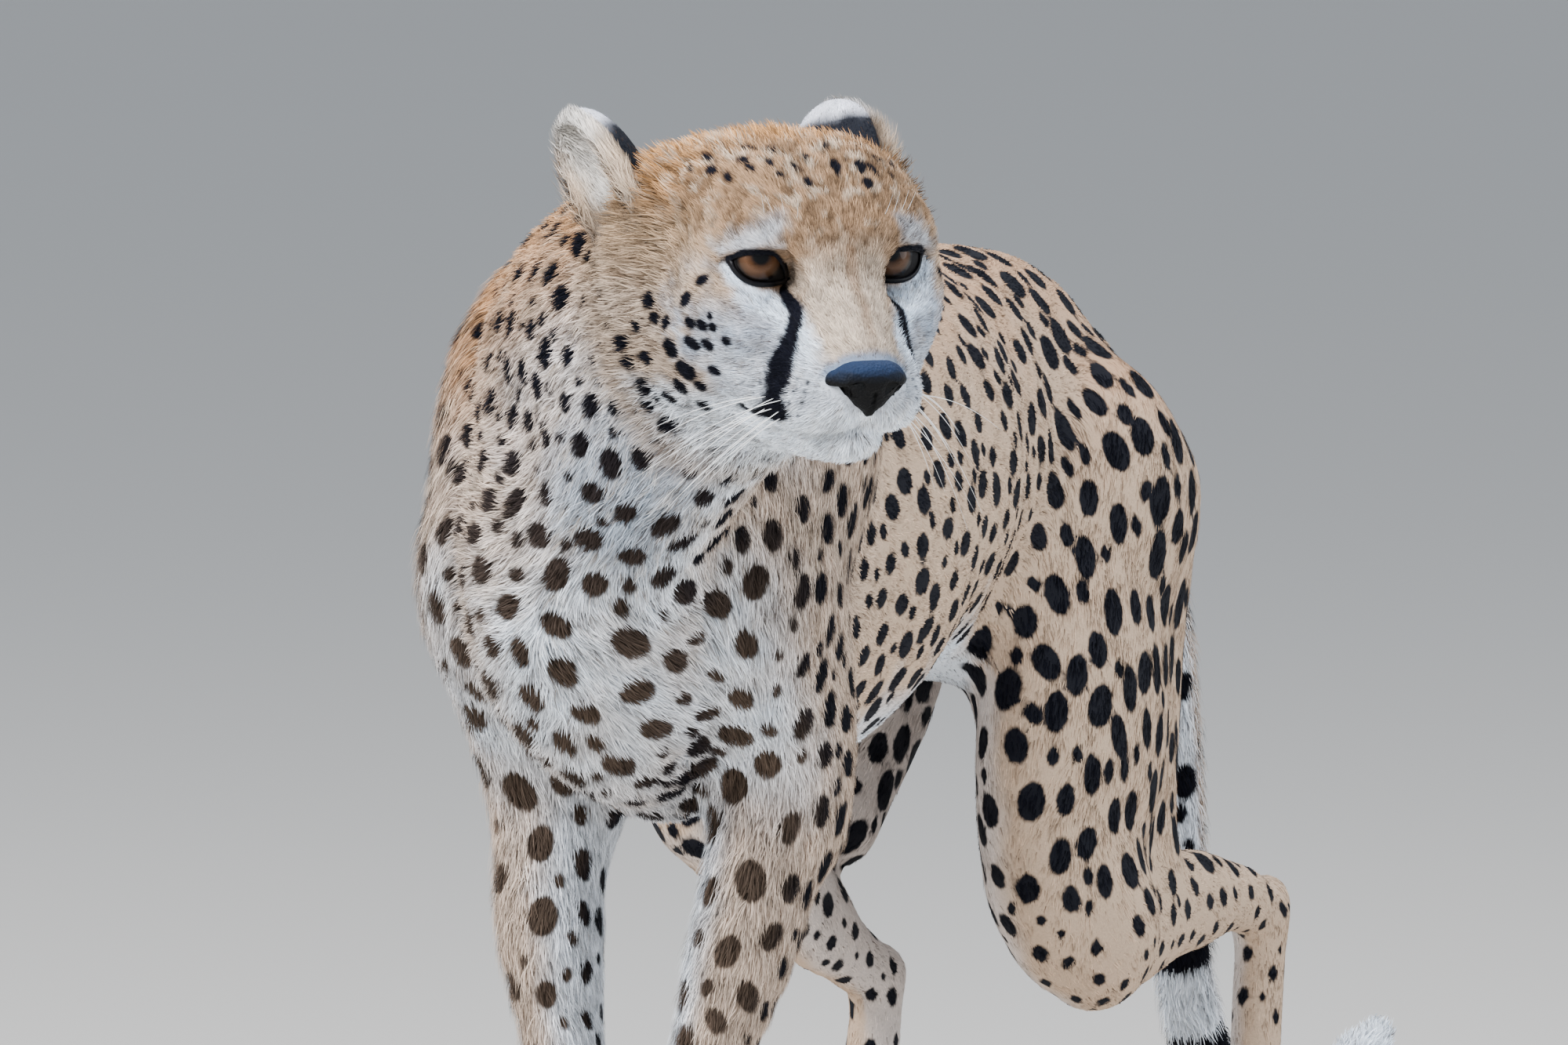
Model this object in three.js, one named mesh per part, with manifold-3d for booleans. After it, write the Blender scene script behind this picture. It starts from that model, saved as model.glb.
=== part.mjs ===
// A walking cheetah at life size, head turned to its left. Millimetres, +Z up.
// The animal faces -Y and its left side is +X. The floor is z = 0.
// Each region of the body is a soft blend of tapered limbs, meshed and then parted by thin plane cuts.
import * as THREE from 'three';
import { mergeVertices } from 'three/addons/utils/BufferGeometryUtils.js';
import Module from 'manifold-3d';

const wasm = await Module();
wasm.setup();

// ---------------------------------------------------------------- driving dimensions

const GAP = 0.3;
const REACH = 3000;
const SHORTEST_EDGE = 0.02;
const TOUCH_RETREAT = 0.1;

// heights above the floor
const ELBOW_HEIGHT = 366;
const CARPUS_HEIGHT = 136;
// how far the round pads are flattened where they stand
const SOLE_FLAT = 3;

// lengths along the body, from the line of the shoulders
const HIP_Y = 487;
const RUMP_CENTRE_X = -15;

// the head's own frame: origin midway between the eyes, facing -Y
const EYE_POINT = new THREE.Vector3(182, -225, 640);
const HEAD_TURN = THREE.MathUtils.degToRad(43);
const HEAD_NOD = THREE.MathUtils.degToRad(5);
const EYE_RADIUS = 16.5;
const EYE_OUT = 31;
const EYE_BACK = 14.5;
const EYE_SPLAY = THREE.MathUtils.degToRad(20);
const EAR_HALF_WIDTH = 27.5;
const EAR_HALF_DEPTH = 17.5;
const EAR_WALL = 3.4;
const CLEARANCE = 0.4;
const LID_HALF_WIDTH = 14.5;
const LID_RISE = 4.6;
const LID_DROP = 7.6;
const LID_SLANT = 0.1;
const LID_GIRTH = 2.4;
const MOUTH_GROOVE = 1.9;
const MOUTH_HALF = [[0, -48, -69], [9, -46, -71], [20, -34, -72], [30, -20, -70], [37, -8, -66]];

// mesh cells
const TORSO_CELL = [23, 33, 23];
const NECK_CELL = [21, 21, 21];
const FACE_CELL = [8.2, 8.2, 8.2];
const CROWN_CELL = [13, 13, 13];
const NOSE_CELL = [5, 5, 5];
const UPPER_LEG_CELL = [20, 24, 24];
const LOWER_LEG_CELL = [11.5, 13, 29];
const SHANK_CELL = [13.5, 30, 14];
const PAW_CELL = [9.4, 10.4, 9.4];
const TAIL_CELL = [14, 21, 18];

const SKIN_TAN = 0xc9ae94;
const BELLY_WHITE = 0xdcdad5;
const PAW_TAN = 0xcdb79f;
const TAIL_TAN = 0xc4a88c;
const NOSE_BLACK = 0x2b3240;
const EYE_AMBER = 0x8a5a34;
const EAR_GREY = 0x8f8d8c;

// ---------------------------------------------------------------- soft forms

// One station of a limb: its centre, its half width along X and its half depth across it.
function station(x, y, z, halfWidth, halfDepth = halfWidth) {
  return { centre: new THREE.Vector3(x, y, z), halfWidth, halfDepth };
}

// The same form on the other side of the plane x = 0.
function mirrored(stations) {
  return stations.map(({ centre, halfWidth, halfDepth }) =>
    station(-centre.x, centre.y, centre.z, halfWidth, halfDepth));
}

// A limb is a rounded form swept along a smooth curve through its stations.
function limb(stations, blend, steps = 4) {
  const curve = new THREE.CatmullRomCurve3(stations.map((s) => s.centre), false, 'centripetal');
  const spans = stations.length - 1;
  const rings = [];
  for (let step = 0; step <= spans * steps; step += 1) {
    const along = step / steps;
    const low = Math.min(Math.floor(along), spans - 1);
    const part = along - low;
    const eased = part * part * (3 - 2 * part);
    rings.push({
      centre: spans > 0 ? curve.getPoint(along / spans) : stations[0].centre.clone(),
      halfWidth: THREE.MathUtils.lerp(stations[low].halfWidth, stations[low + 1].halfWidth, eased),
      halfDepth: THREE.MathUtils.lerp(stations[low].halfDepth, stations[low + 1].halfDepth, eased),
    });
  }
  return { rings, blend };
}

// Signed distance, roughly, from a point to a limb's surface: negative inside.
function limbDistance(form, x, y, z) {
  let nearest = Infinity;
  for (let i = 0; i + 1 < form.rings.length; i += 1) {
    const a = form.rings[i];
    const b = form.rings[i + 1];
    const ux = b.centre.x - a.centre.x;
    const uy = b.centre.y - a.centre.y;
    const uz = b.centre.z - a.centre.z;
    const px = x - a.centre.x;
    const py = y - a.centre.y;
    const pz = z - a.centre.z;
    const share = (px * ux + py * uy + pz * uz) / (ux * ux + uy * uy + uz * uz);
    const t = Math.min(1, Math.max(0, share));
    const vx = px - t * ux;
    const vy = py - t * uy;
    const vz = pz - t * uz;
    const halfWidth = a.halfWidth + t * (b.halfWidth - a.halfWidth);
    const halfDepth = a.halfDepth + t * (b.halfDepth - a.halfDepth);
    const away = Math.sqrt(vx * vx + vy * vy + vz * vz);
    const ratio = Math.sqrt((vx / halfWidth) ** 2 + (vy * vy + vz * vz) / halfDepth ** 2);
    const distance = ratio > 1e-6 ? away * (1 - 1 / ratio) : -Math.min(halfWidth, halfDepth);
    nearest = Math.min(nearest, distance);
  }
  return nearest;
}

// Two distances joined with a rounded fillet of the given width.
function blendMin(a, b, width) {
  const share = Math.max(width - Math.abs(a - b), 0) / width;
  return Math.min(a, b) - share * share * width * 0.25;
}

// The field of a list of limbs, each blended into those before it.
function fieldOf(forms) {
  return (x, y, z) => {
    let total = Infinity;
    for (const form of forms) {
      const distance = limbDistance(form, x, y, z);
      total = total === Infinity ? distance : blendMin(total, distance, form.blend);
    }
    return total;
  };
}

// ---------------------------------------------------------------- meshing a field

// Corner offsets of a cell, and the pairs of corners that its twelve edges join.
const CORNERS = [0, 1, 2, 3, 4, 5, 6, 7].map((n) => [n & 1, (n >> 1) & 1, (n >> 2) & 1]);
const EDGES = [];
for (let a = 0; a < CORNERS.length; a += 1) {
  for (let axis = 0; axis < 3; axis += 1) {
    if (CORNERS[a][axis] === 0) {
      EDGES.push([a, a | (1 << axis)]);
    }
  }
}

// Moves a point onto the field's zero surface, by at most a share of a cell.
function settle(field, point, cell) {
  const step = 0.5;
  const limit = cell.map((size) => size * 0.45);
  const start = [...point];
  for (let round = 0; round < 4; round += 1) {
    const value = field(...point);
    const slope = [0, 1, 2].map((axis) => {
      const ahead = [...point];
      const behind = [...point];
      ahead[axis] += step;
      behind[axis] -= step;
      return (field(...ahead) - field(...behind)) / (2 * step);
    });
    const steepness = Math.max(slope[0] ** 2 + slope[1] ** 2 + slope[2] ** 2, 0.05);
    for (let axis = 0; axis < 3; axis += 1) {
      const moved = point[axis] - (value * slope[axis]) / steepness;
      point[axis] = THREE.MathUtils.clamp(moved, start[axis] - limit[axis], start[axis] + limit[axis]);
    }
  }
}

// A closed mesh of the field's zero surface inside a box, one vertex to each cell that it crosses.
function meshOf(field, low, high, cell) {
  const count = low.map((value, axis) => Math.ceil((high[axis] - value) / cell[axis]) + 1);
  const stride = [1, count[0], count[0] * count[1]];
  const at = (axis, index) => low[axis] + index * cell[axis];
  const values = new Float32Array(count[0] * count[1] * count[2]);
  const isEdge = (i, j, k) => [i, j, k].some((n, axis) => n === 0 || n === count[axis] - 1);
  for (let k = 0; k < count[2]; k += 1) {
    for (let j = 0; j < count[1]; j += 1) {
      for (let i = 0; i < count[0]; i += 1) {
        const value = field(at(0, i), at(1, j), at(2, k));
        const outside = Math.max(value, 1);
        values[i + j * stride[1] + k * stride[2]] = isEdge(i, j, k) ? outside : value;
      }
    }
  }
  const vertexOfCell = new Int32Array(values.length).fill(-1);
  const positions = [];
  for (let k = 0; k + 1 < count[2]; k += 1) {
    for (let j = 0; j + 1 < count[1]; j += 1) {
      for (let i = 0; i + 1 < count[0]; i += 1) {
        const base = i + j * stride[1] + k * stride[2];
        const corner = CORNERS.map(([a, b, c]) => values[base + a + b * stride[1] + c * stride[2]]);
        const sum = [0, 0, 0];
        let crossings = 0;
        for (const [a, b] of EDGES) {
          if ((corner[a] < 0) !== (corner[b] < 0)) {
            const share = corner[a] / (corner[a] - corner[b]);
            for (let axis = 0; axis < 3; axis += 1) {
              sum[axis] += CORNERS[a][axis] + share * (CORNERS[b][axis] - CORNERS[a][axis]);
            }
            crossings += 1;
          }
        }
        if (crossings > 0) {
          const point = [i, j, k].map((n, axis) => at(axis, n + sum[axis] / crossings));
          settle(field, point, cell);
          vertexOfCell[base] = positions.length / 3;
          positions.push(...point);
        }
      }
    }
  }
  const triangles = [];
  const spread = (a, b) => Math.hypot(...[0, 1, 2].map((n) => positions[3 * a + n] - positions[3 * b + n]));
  for (let k = 0; k + 1 < count[2]; k += 1) {
    for (let j = 0; j + 1 < count[1]; j += 1) {
      for (let i = 0; i + 1 < count[0]; i += 1) {
        const base = i + j * stride[1] + k * stride[2];
        for (let axis = 0; axis < 3; axis += 1) {
          const inside = values[base] < 0;
          if (inside !== values[base + stride[axis]] < 0) {
            const u = stride[(axis + 1) % 3];
            const v = stride[(axis + 2) % 3];
            const ring = [base, base - u, base - u - v, base - v].map((n) => vertexOfCell[n]);
            const [a, b, c, d] = inside ? ring : ring.reverse();
            if (spread(a, c) < spread(b, d)) {
              triangles.push(a, b, c, a, c, d);
            } else {
              triangles.push(a, b, d, b, c, d);
            }
          }
        }
      }
    }
  }
  const geometry = new THREE.BufferGeometry();
  geometry.setAttribute('position', new THREE.Float32BufferAttribute(positions, 3));
  geometry.setIndex(triangles);
  return geometry;
}

// ---------------------------------------------------------------- solids

// A closed geometry as a solid that can be cut and joined.
function solidOf(geometry) {
  const bare = geometry.clone();
  bare.deleteAttribute('normal');
  bare.deleteAttribute('uv');
  const merged = mergeVertices(bare, 1e-4);
  return new wasm.Manifold(new wasm.Mesh({
    numProp: 3,
    vertProperties: new Float32Array(merged.attributes.position.array),
    triVerts: new Uint32Array(merged.index.array),
  }));
}

// Triangles with every edge that is too short to matter closed up to a point.
function closedUp(corners, triangles) {
  const target = corners.map((_, n) => n);
  const last = (n) => (target[n] === n ? n : last(target[n]));
  for (let t = 0; t < triangles.length; t += 3) {
    for (const [a, b] of [[0, 1], [1, 2], [2, 0]]) {
      const from = last(triangles[t + a]);
      const to = last(triangles[t + b]);
      if (from !== to && corners[from].distanceTo(corners[to]) < SHORTEST_EDGE) {
        target[from] = to;
      }
    }
  }
  const kept = [];
  for (let t = 0; t < triangles.length; t += 3) {
    const [a, b, c] = triangles.slice(t, t + 3).map(last);
    if (a !== b && b !== c && c !== a) {
      kept.push(a, b, c);
    }
  }
  return kept;
}

// Corners of separate sheets that only touch are each drawn a little back into their own sheet.
function drawnApart(corners, triangles) {
  const sums = corners.map(() => ({ total: new THREE.Vector3(), count: 0 }));
  for (let t = 0; t < triangles.length; t += 3) {
    for (const [a, b] of [[0, 1], [1, 2], [2, 0]]) {
      sums[triangles[t + a]].total.add(corners[triangles[t + b]]);
      sums[triangles[t + a]].count += 1;
    }
  }
  const seen = new Map();
  corners.forEach((corner, n) => {
    const key = corner.toArray().map((value) => Math.round(value / SHORTEST_EDGE)).join();
    const used = sums[n].count > 0;
    if (used && seen.has(key)) {
      for (const m of [n, seen.get(key)]) {
        const inwards = sums[m].total.clone().divideScalar(sums[m].count).sub(corners[m]);
        corners[m].add(inwards.setLength(TOUCH_RETREAT));
      }
    } else if (used) {
      seen.set(key, n);
    }
  });
}

// The largest closed surface of a solid, as a geometry.
function geometryOf(solid) {
  const pieces = solid.decompose().sort((a, b) => b.volume() - a.volume());
  const mesh = pieces[0].getMesh();
  const corners = [];
  for (let v = 0; v < mesh.numVert; v += 1) {
    corners.push(new THREE.Vector3().fromArray(mesh.vertProperties, v * mesh.numProp));
  }
  const triangles = closedUp(corners, Array.from(mesh.triVerts));
  drawnApart(corners, triangles);
  const geometry = new THREE.BufferGeometry().setFromPoints(corners);
  geometry.setIndex(triangles);
  return geometry;
}

// All space behind a plane, as a very large box. Half of the gap is left free on each side of the plane.
function behind(point, normal) {
  const axis = new THREE.Vector3(...normal).normalize();
  const box = new THREE.BoxGeometry(REACH, REACH, REACH);
  box.translate(0, 0, -REACH / 2 - GAP / 2);
  box.applyQuaternion(new THREE.Quaternion().setFromUnitVectors(new THREE.Vector3(0, 0, 1), axis));
  box.translate(...point);
  return solidOf(box);
}

// The plane's other side.
function ahead(point, normal) {
  return behind(point, normal.map((n) => -n));
}

function within(solid, ...halves) {
  return halves.reduce((rest, half) => rest.intersect(half), solid);
}

function without(solid, ...others) {
  return others.reduce((rest, other) => rest.subtract(other), solid);
}

const animal = new THREE.Group();

function addNode(name, solid, colour, roughness, parent = animal) {
  const material = new THREE.MeshStandardMaterial({ color: colour, roughness, metalness: 0 });
  const mesh = new THREE.Mesh(geometryOf(solid), material);
  mesh.name = name;
  parent.add(mesh);
  return mesh;
}

// ---------------------------------------------------------------- forms of the trunk

const trunkForms = [
  limb([
    station(0, -52, 470, 58, 70),
    station(0, 5, 486, 84, 116),
    station(0, 85, 492, 91, 138),
    station(-2, 175, 496, 95, 134),
    station(-5, 265, 504, 89, 113),
    station(-8, 345, 506, 78, 100),
    station(-12, 415, 511, 68, 93),
    station(RUMP_CENTRE_X, HIP_Y, 513, 65, 85),
    station(RUMP_CENTRE_X, 545, 501, 64, 70),
    station(RUMP_CENTRE_X, 580, 497, 40, 46),
  ], 1),
  // the keel of the breast between the shoulders
  limb([station(0, -58, 470, 34, 40), station(0, -40, 420, 34, 36), station(0, 30, 385, 30, 30)], 24),
  // the fold of the belly between the thighs
  limb([station(-8, 330, 428, 42, 24), station(-10, 400, 413, 40, 28), station(-14, 470, 412, 38, 30)], 30),
];

const neckForms = [
  limb([
    station(-2, 45, 556, 78, 80),
    station(8, -15, 574, 78, 84),
    station(44, -78, 598, 71, 80),
    station(86, -128, 616, 65, 73),
    station(122, -166, 622, 58, 60),
  ], 34),
  // the throat, from the jaw down to the breast
  limb([station(104, -150, 586, 44, 50), station(50, -106, 540, 48, 54), station(8, -60, 490, 46, 50)], 30),
];

function shoulderForms(side) {
  const blade = [
    station(54, 74, 606, 24, 44),
    station(74, 32, 552, 32, 60),
    station(71, -8, 486, 31, 56),
  ];
  const upperArm = [
    station(68, -10, 460, 30, 50),
    station(66, 32, 404, 31, 46),
    station(60, 48, 362, 29, 38),
  ];
  return [blade, upperArm].map((stations) => limb(side > 0 ? stations : mirrored(stations), 26));
}

// ---------------------------------------------------------------- forms of the legs

// A foot of four toes and a pad, its toes pointing to -Y. The heel is the joint above the pad.
function footForms(x, y, lift = 0) {
  const sole = [station(x, y + 4, 30 + lift, 22, 20), station(x, y - 26, 17, 24, 18)];
  const forms = [limb(sole, 14)];
  const spread = [[-1.5, -20, 9], [-0.55, -34, 10], [0.55, -34, 10], [1.5, -20, 9]];
  for (const [across, reach, girth] of spread) {
    const out = across * 13;
    forms.push(limb([
      station(x + out * 0.7, y + reach + 22, 22 + lift * 0.5, girth, girth + 2),
      station(x + out, y + reach - 2, 20, girth, girth + 3),
      station(x + out * 1.02, y + reach - 20, 10, girth - 1, girth - 0.5),
    ], 6));
  }
  return forms;
}

// A foreleg from the elbow down, with the foot under the wrist.
function forelegForms(elbowX, elbowY, wristX, wristY) {
  const footY = wristY - 14;
  return [
    limb([
      station(elbowX, elbowY, ELBOW_HEIGHT + 4, 28, 38),
      station(elbowX * 0.9 + wristX * 0.1, elbowY * 0.55 + wristY * 0.45, 318, 28, 37),
      station(wristX * 0.6 + elbowX * 0.32, elbowY * 0.15 + wristY * 0.85, 240, 21, 27),
      station(wristX, wristY, CARPUS_HEIGHT + 22, 16, 18),
      station(wristX, wristY - 2, CARPUS_HEIGHT - 10, 19, 20),
      station(wristX, wristY - 6, 80, 17, 17),
      station(wristX, footY, 40, 20, 20),
    ], 20),
    ...footForms(wristX, footY),
  ];
}

// The left hind leg has swung back: thigh upright, shank level, heel high over the toes.
const LEFT_KNEE = [67, 439, 267];
const LEFT_HEEL = [54, 730, 256];
const leftHindForms = [
  limb([
    station(46, 505, 468, 45, 72),
    station(40, 482, 425, 43, 100),
    station(52, 449, 364, 40, 95),
    station(55, 423, 308, 37, 67),
    station(...LEFT_KNEE, 29, 41),
  ], 30),
  // the hamstrings down to the calf
  limb([station(40, 562, 470, 35, 32), station(43, 560, 390, 26, 32), station(54, 532, 304, 24, 30)], 30),
  limb([
    station(...LEFT_KNEE, 29, 39),
    station(58, 494, 264, 27, 41),
    station(57, 592, 263, 21, 30),
    station(56, 674, 257, 17, 21),
    station(LEFT_HEEL[0], LEFT_HEEL[1] - 14, 246, 17, 19),
  ], 22),
  limb([
    station(LEFT_HEEL[0], LEFT_HEEL[1], LEFT_HEEL[2] - 6, 14, 15),
    station(54, 720, 222, 16, 20),
    station(53, 712, 150, 15, 17),
    station(52, 700, 86, 16, 17),
    station(52, 686, 50, 20, 19),
  ], 14),
  ...footForms(52, 680, 14),
];

// The right hind leg stands under the body.
const RIGHT_KNEE = [-80, 298, 345];
const RIGHT_HEEL = [-72, 514, 234];
const rightHindForms = [
  limb([
    station(-72, 505, 469, 43, 68),
    station(-75, 446, 440, 42, 92),
    station(-81, 375, 396, 41, 76),
    station(-82, 325, 364, 34, 52),
    station(...RIGHT_KNEE, 29, 38),
  ], 30),
  limb([
    station(-70, 562, 470, 35, 32),
    station(-75, 535, 380, 29, 34),
    station(-78, 470, 316, 24, 32),
  ], 30),
  limb([
    station(...RIGHT_KNEE, 29, 38),
    station(-80, 352, 314, 27, 42),
    station(-77, 420, 272, 21, 30),
    station(-74, 472, 244, 17, 21),
    station(-72, 500, 232, 17, 19),
  ], 22),
  limb([
    station(RIGHT_HEEL[0], RIGHT_HEEL[1], RIGHT_HEEL[2] - 4, 14, 15),
    station(-72, 502, 202, 16, 20),
    station(-71, 478, 130, 15, 17),
    station(-70, 456, 72, 16, 17),
    station(-70, 446, 40, 20, 19),
  ], 14),
  ...footForms(-70, 442),
];

// ---------------------------------------------------------------- form of the tail

const tailForms = [
  limb([
    station(RUMP_CENTRE_X, 555, 512, 30, 34),
    station(-12, 612, 500, 24, 26),
    station(-6, 680, 462, 20, 21),
    station(0, 715, 400, 18, 18),
    station(2, 732, 335, 17, 17),
    station(2, 742, 268, 17, 17),
    station(2, 752, 208, 17.5, 17.5),
    station(3, 786, 156, 18, 18),
    station(4, 860, 124, 19, 19),
    station(0, 955, 116, 20, 20),
    station(-6, 1045, 128, 18, 18),
    station(-10, 1096, 146, 9, 9),
  ], 22),
];

// ---------------------------------------------------------------- forms of the head, in its own frame

function pair(stations, blend) {
  return [limb(stations, blend), limb(mirrored(stations), blend)];
}

const headForms = [
  // skull, from the brow to the nape
  limb([
    station(0, 14, 6, 38, 30),
    station(0, 44, 9, 50, 40),
    station(0, 80, 6, 54, 46),
    station(0, 112, -6, 50, 46),
    station(0, 140, -18, 50, 46),
  ], 1),
  // bridge of the nose
  limb([
    station(0, 8, -6, 24, 24),
    station(0, -14, -20, 19, 20),
    station(0, -34, -33, 16.5, 15),
    station(0, -45, -42, 15, 11.5),
  ], 16),
  // temples
  ...pair([station(26, 24, 22, 20), station(36.5, 58, 22, 23.5), station(38, 102, 14.5, 24.5)], 24),
  // brows
  ...pair([station(14, -2, 9, 11), station(29, 3, 13, 11.5), station(45, 18, 9, 12)], 16),
  // cheekbones
  ...pair([station(20, -8, -18, 12), station(34, 0, -22, 14), station(45, 20, -16, 14.5)], 18),
  // cheeks
  ...pair([station(31, 17, -38, 19, 24), station(41, 52, -34, 23, 37), station(43, 92, -28, 26, 40)], 26),
  // sides of the muzzle
  ...pair([station(14, -12, -28, 14), station(17, -28, -45, 13)], 12),
  // whisker pads
  ...pair([
    station(11, -37, -58, 13, 13),
    station(20, -25, -58, 14.5, 15),
    station(27, -2, -54, 14, 17),
  ], 12),
  // lower jaw
  limb([
    station(0, -34, -76, 11, 8.5),
    station(0, -18, -77, 19, 11),
    station(0, 10, -70, 32, 18),
    station(0, 50, -62, 40, 26),
  ], 8),
  limb([station(0, 40, -50, 44, 30), station(0, 90, -46, 50, 44), station(0, 135, -46, 48, 50)], 24),
];

const noseForms = [
  limb([
    station(-14, -45.5, -45.5, 5.5, 5.2),
    station(-7, -50.5, -42.8, 7.5, 7),
    station(7, -50.5, -42.8, 7.5, 7),
    station(14, -45.5, -45.5, 5.5, 5.2),
  ], 1),
  limb([
    station(0, -51, -46, 14, 6.5),
    station(0, -50.5, -51.5, 9.5, 5.8),
    station(0, -49.5, -57, 2.8, 4.8),
  ], 6),
];

const headToWorld = new THREE.Matrix4().compose(
  EYE_POINT,
  new THREE.Quaternion().setFromEuler(new THREE.Euler(HEAD_NOD, 0, HEAD_TURN, 'ZYX')),
  new THREE.Vector3(1, 1, 1),
);
const worldToHead = headToWorld.clone().invert();

function toWorld(x, y, z) {
  return new THREE.Vector3(x, y, z).applyMatrix4(headToWorld);
}

function toWorldDirection(x, y, z) {
  return new THREE.Vector3(x, y, z).transformDirection(headToWorld);
}

const headField = fieldOf(headForms);
const headPoint = new THREE.Vector3();

function headFieldInWorld(x, y, z) {
  headPoint.set(x, y, z).applyMatrix4(worldToHead);
  return headField(headPoint.x, headPoint.y, headPoint.z);
}

// ---------------------------------------------------------------- planes that part the nodes

const NECK_ROOT = { point: [0, -25, 572], normal: [0, -0.73, 0.68] };
const NAPE_IN_HEAD = { point: [0, 124, 0], normal: [0, 0.887, -0.463] };
const NAPE = {
  point: toWorld(...NAPE_IN_HEAD.point).toArray(),
  normal: toWorldDirection(...NAPE_IN_HEAD.normal).toArray(),
};
const FACE_EDGE = { point: [0, 35, 0], normal: [0, 1, 0.12] };
const EAR_FOOT = { point: [0, 84, -8], normal: [0, 0, 1] };
const CHEST_END = { point: [0, 262, 0], normal: [0, 1, 0] };
const LOIN_END = { point: [0, 408, 0], normal: [0, 1, 0] };
const TAIL_ROOT = { point: [RUMP_CENTRE_X, 592, 502], normal: [0, 0.9, -0.43] };
const FLOOR = { point: [0, 0, SOLE_FLAT - GAP / 2], normal: [0, 0, -1] };

function armpitOf(side) {
  return { point: [30 * side, 0, 392], normal: [-0.8 * side, 0, 0.6] };
}
const SHOULDER_BACK = { point: [0, 128, 0], normal: [0, 1, 0] };
const ELBOW = { point: [0, 50, 340], normal: [0, -0.15, 0.99] };
const WRIST = { point: [0, 0, CARPUS_HEIGHT - 14], normal: [0, 0, 1] };

const LEFT_GROIN = { point: [20, 0, 402], normal: [-0.8, 0, 0.6] };
const RIGHT_GROIN = { point: [-42, 0, 392], normal: [0.75, 0, 0.66] };
const LEFT_THIGH_FRONT = { point: [0, 345, 0], normal: [0, -1, 0] };
const RIGHT_THIGH_FRONT = { point: [0, 240, 0], normal: [0, -1, 0] };
const LEFT_KNEE_CUT = { point: [0, 467, 279], normal: [0, -0.34, 0.94] };
const RIGHT_KNEE_CUT = { point: [0, 290, 322], normal: [0, -0.1, 0.99] };
const LEFT_HOCK = { point: [0, 694, 240], normal: [0, 0.86, -0.5] };
const RIGHT_HOCK = { point: [0, 488, 222], normal: [0, 0.5, -0.86] };
const LEFT_TOES = { point: [0, 698, 72], normal: [0, -0.3, -0.95] };
const RIGHT_TOES = { point: [0, 452, 62], normal: [0, -0.2, -0.98] };

const before = (plane) => behind(plane.point, plane.normal);
const beyond = (plane) => ahead(plane.point, plane.normal);

// ---------------------------------------------------------------- torso and neck

const forelegs = {
  left: forelegForms(55, 32, 32, -12),
  right: forelegForms(-58, 48, -37, 4),
};
const bodyForms = [
  ...trunkForms,
  ...neckForms,
  ...shoulderForms(1),
  ...shoulderForms(-1),
  forelegs.left[0],
  forelegs.right[0],
  ...leftHindForms.slice(0, 3),
  ...rightHindForms.slice(0, 3),
  ...tailForms,
];
const bodyField = fieldOf(bodyForms);

// The space behind a few planes, grown by the gap, that an upper leg takes out of the torso.
function grownSpace(planes) {
  const halves = planes.map(({ point, normal }) => {
    const out = new THREE.Vector3(...normal).setLength(GAP);
    return behind(out.add(new THREE.Vector3(...point)).toArray(), normal);
  });
  return within(...halves);
}
const legSpaces = [
  grownSpace([armpitOf(1), SHOULDER_BACK]),
  grownSpace([armpitOf(-1), SHOULDER_BACK]),
  grownSpace([LEFT_GROIN, LEFT_THIGH_FRONT]),
  grownSpace([RIGHT_GROIN, RIGHT_THIGH_FRONT]),
];

function torsoPiece(lowY, highY, ...halves) {
  const block = solidOf(meshOf(bodyField, [-150, lowY, 300], [150, highY, 700], TORSO_CELL));
  return without(within(block, ...halves), ...legSpaces);
}

addNode('torso_chest', torsoPiece(-150, 300, before(NECK_ROOT), before(CHEST_END)), SKIN_TAN, 0.9);
addNode('torso_loin', torsoPiece(220, 460, beyond(CHEST_END), before(LOIN_END)), SKIN_TAN, 0.9);
addNode('torso_rump', torsoPiece(360, 680, beyond(LOIN_END), before(TAIL_ROOT)), SKIN_TAN, 0.9);

function neckField(x, y, z) {
  return blendMin(bodyField(x, y, z), headFieldInWorld(x, y, z), 18);
}
const neckSolid = solidOf(meshOf(neckField, [-110, -280, 420], [260, 130, 760], NECK_CELL));
const neck = within(neckSolid, beyond(NECK_ROOT), beyond(NAPE));
addNode('neck', neck, SKIN_TAN, 0.9);

// ---------------------------------------------------------------- head

const headGroup = new THREE.Group();
headGroup.position.copy(EYE_POINT);
headGroup.rotation.set(HEAD_NOD, 0, HEAD_TURN, 'ZYX');
animal.add(headGroup);

const bodyPoint = new THREE.Vector3();

function headAndNeckField(x, y, z) {
  bodyPoint.set(x, y, z).applyMatrix4(headToWorld);
  return blendMin(headField(x, y, z), bodyField(bodyPoint.x, bodyPoint.y, bodyPoint.z), 18);
}

// Moves a form made round the origin to an eye, turned outwards with it.
function toEye(geometry, side) {
  geometry.rotateZ(EYE_SPLAY * side);
  return geometry.translate(EYE_OUT * side, EYE_BACK, 0);
}

function eyeball(side, radius) {
  const ball = new THREE.SphereGeometry(radius, 14, 10);
  ball.rotateX(Math.PI / 2);
  return solidOf(toEye(ball, side));
}

// The almond outline between the lids, flatter above than below, at an angle round the eye.
function lidOutline(angle, side) {
  const across = Math.cos(angle) * LID_HALF_WIDTH;
  const height = Math.sin(angle) > 0 ? LID_RISE : LID_DROP;
  return [across * side, Math.sin(angle) * height + across * LID_SLANT];
}

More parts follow.
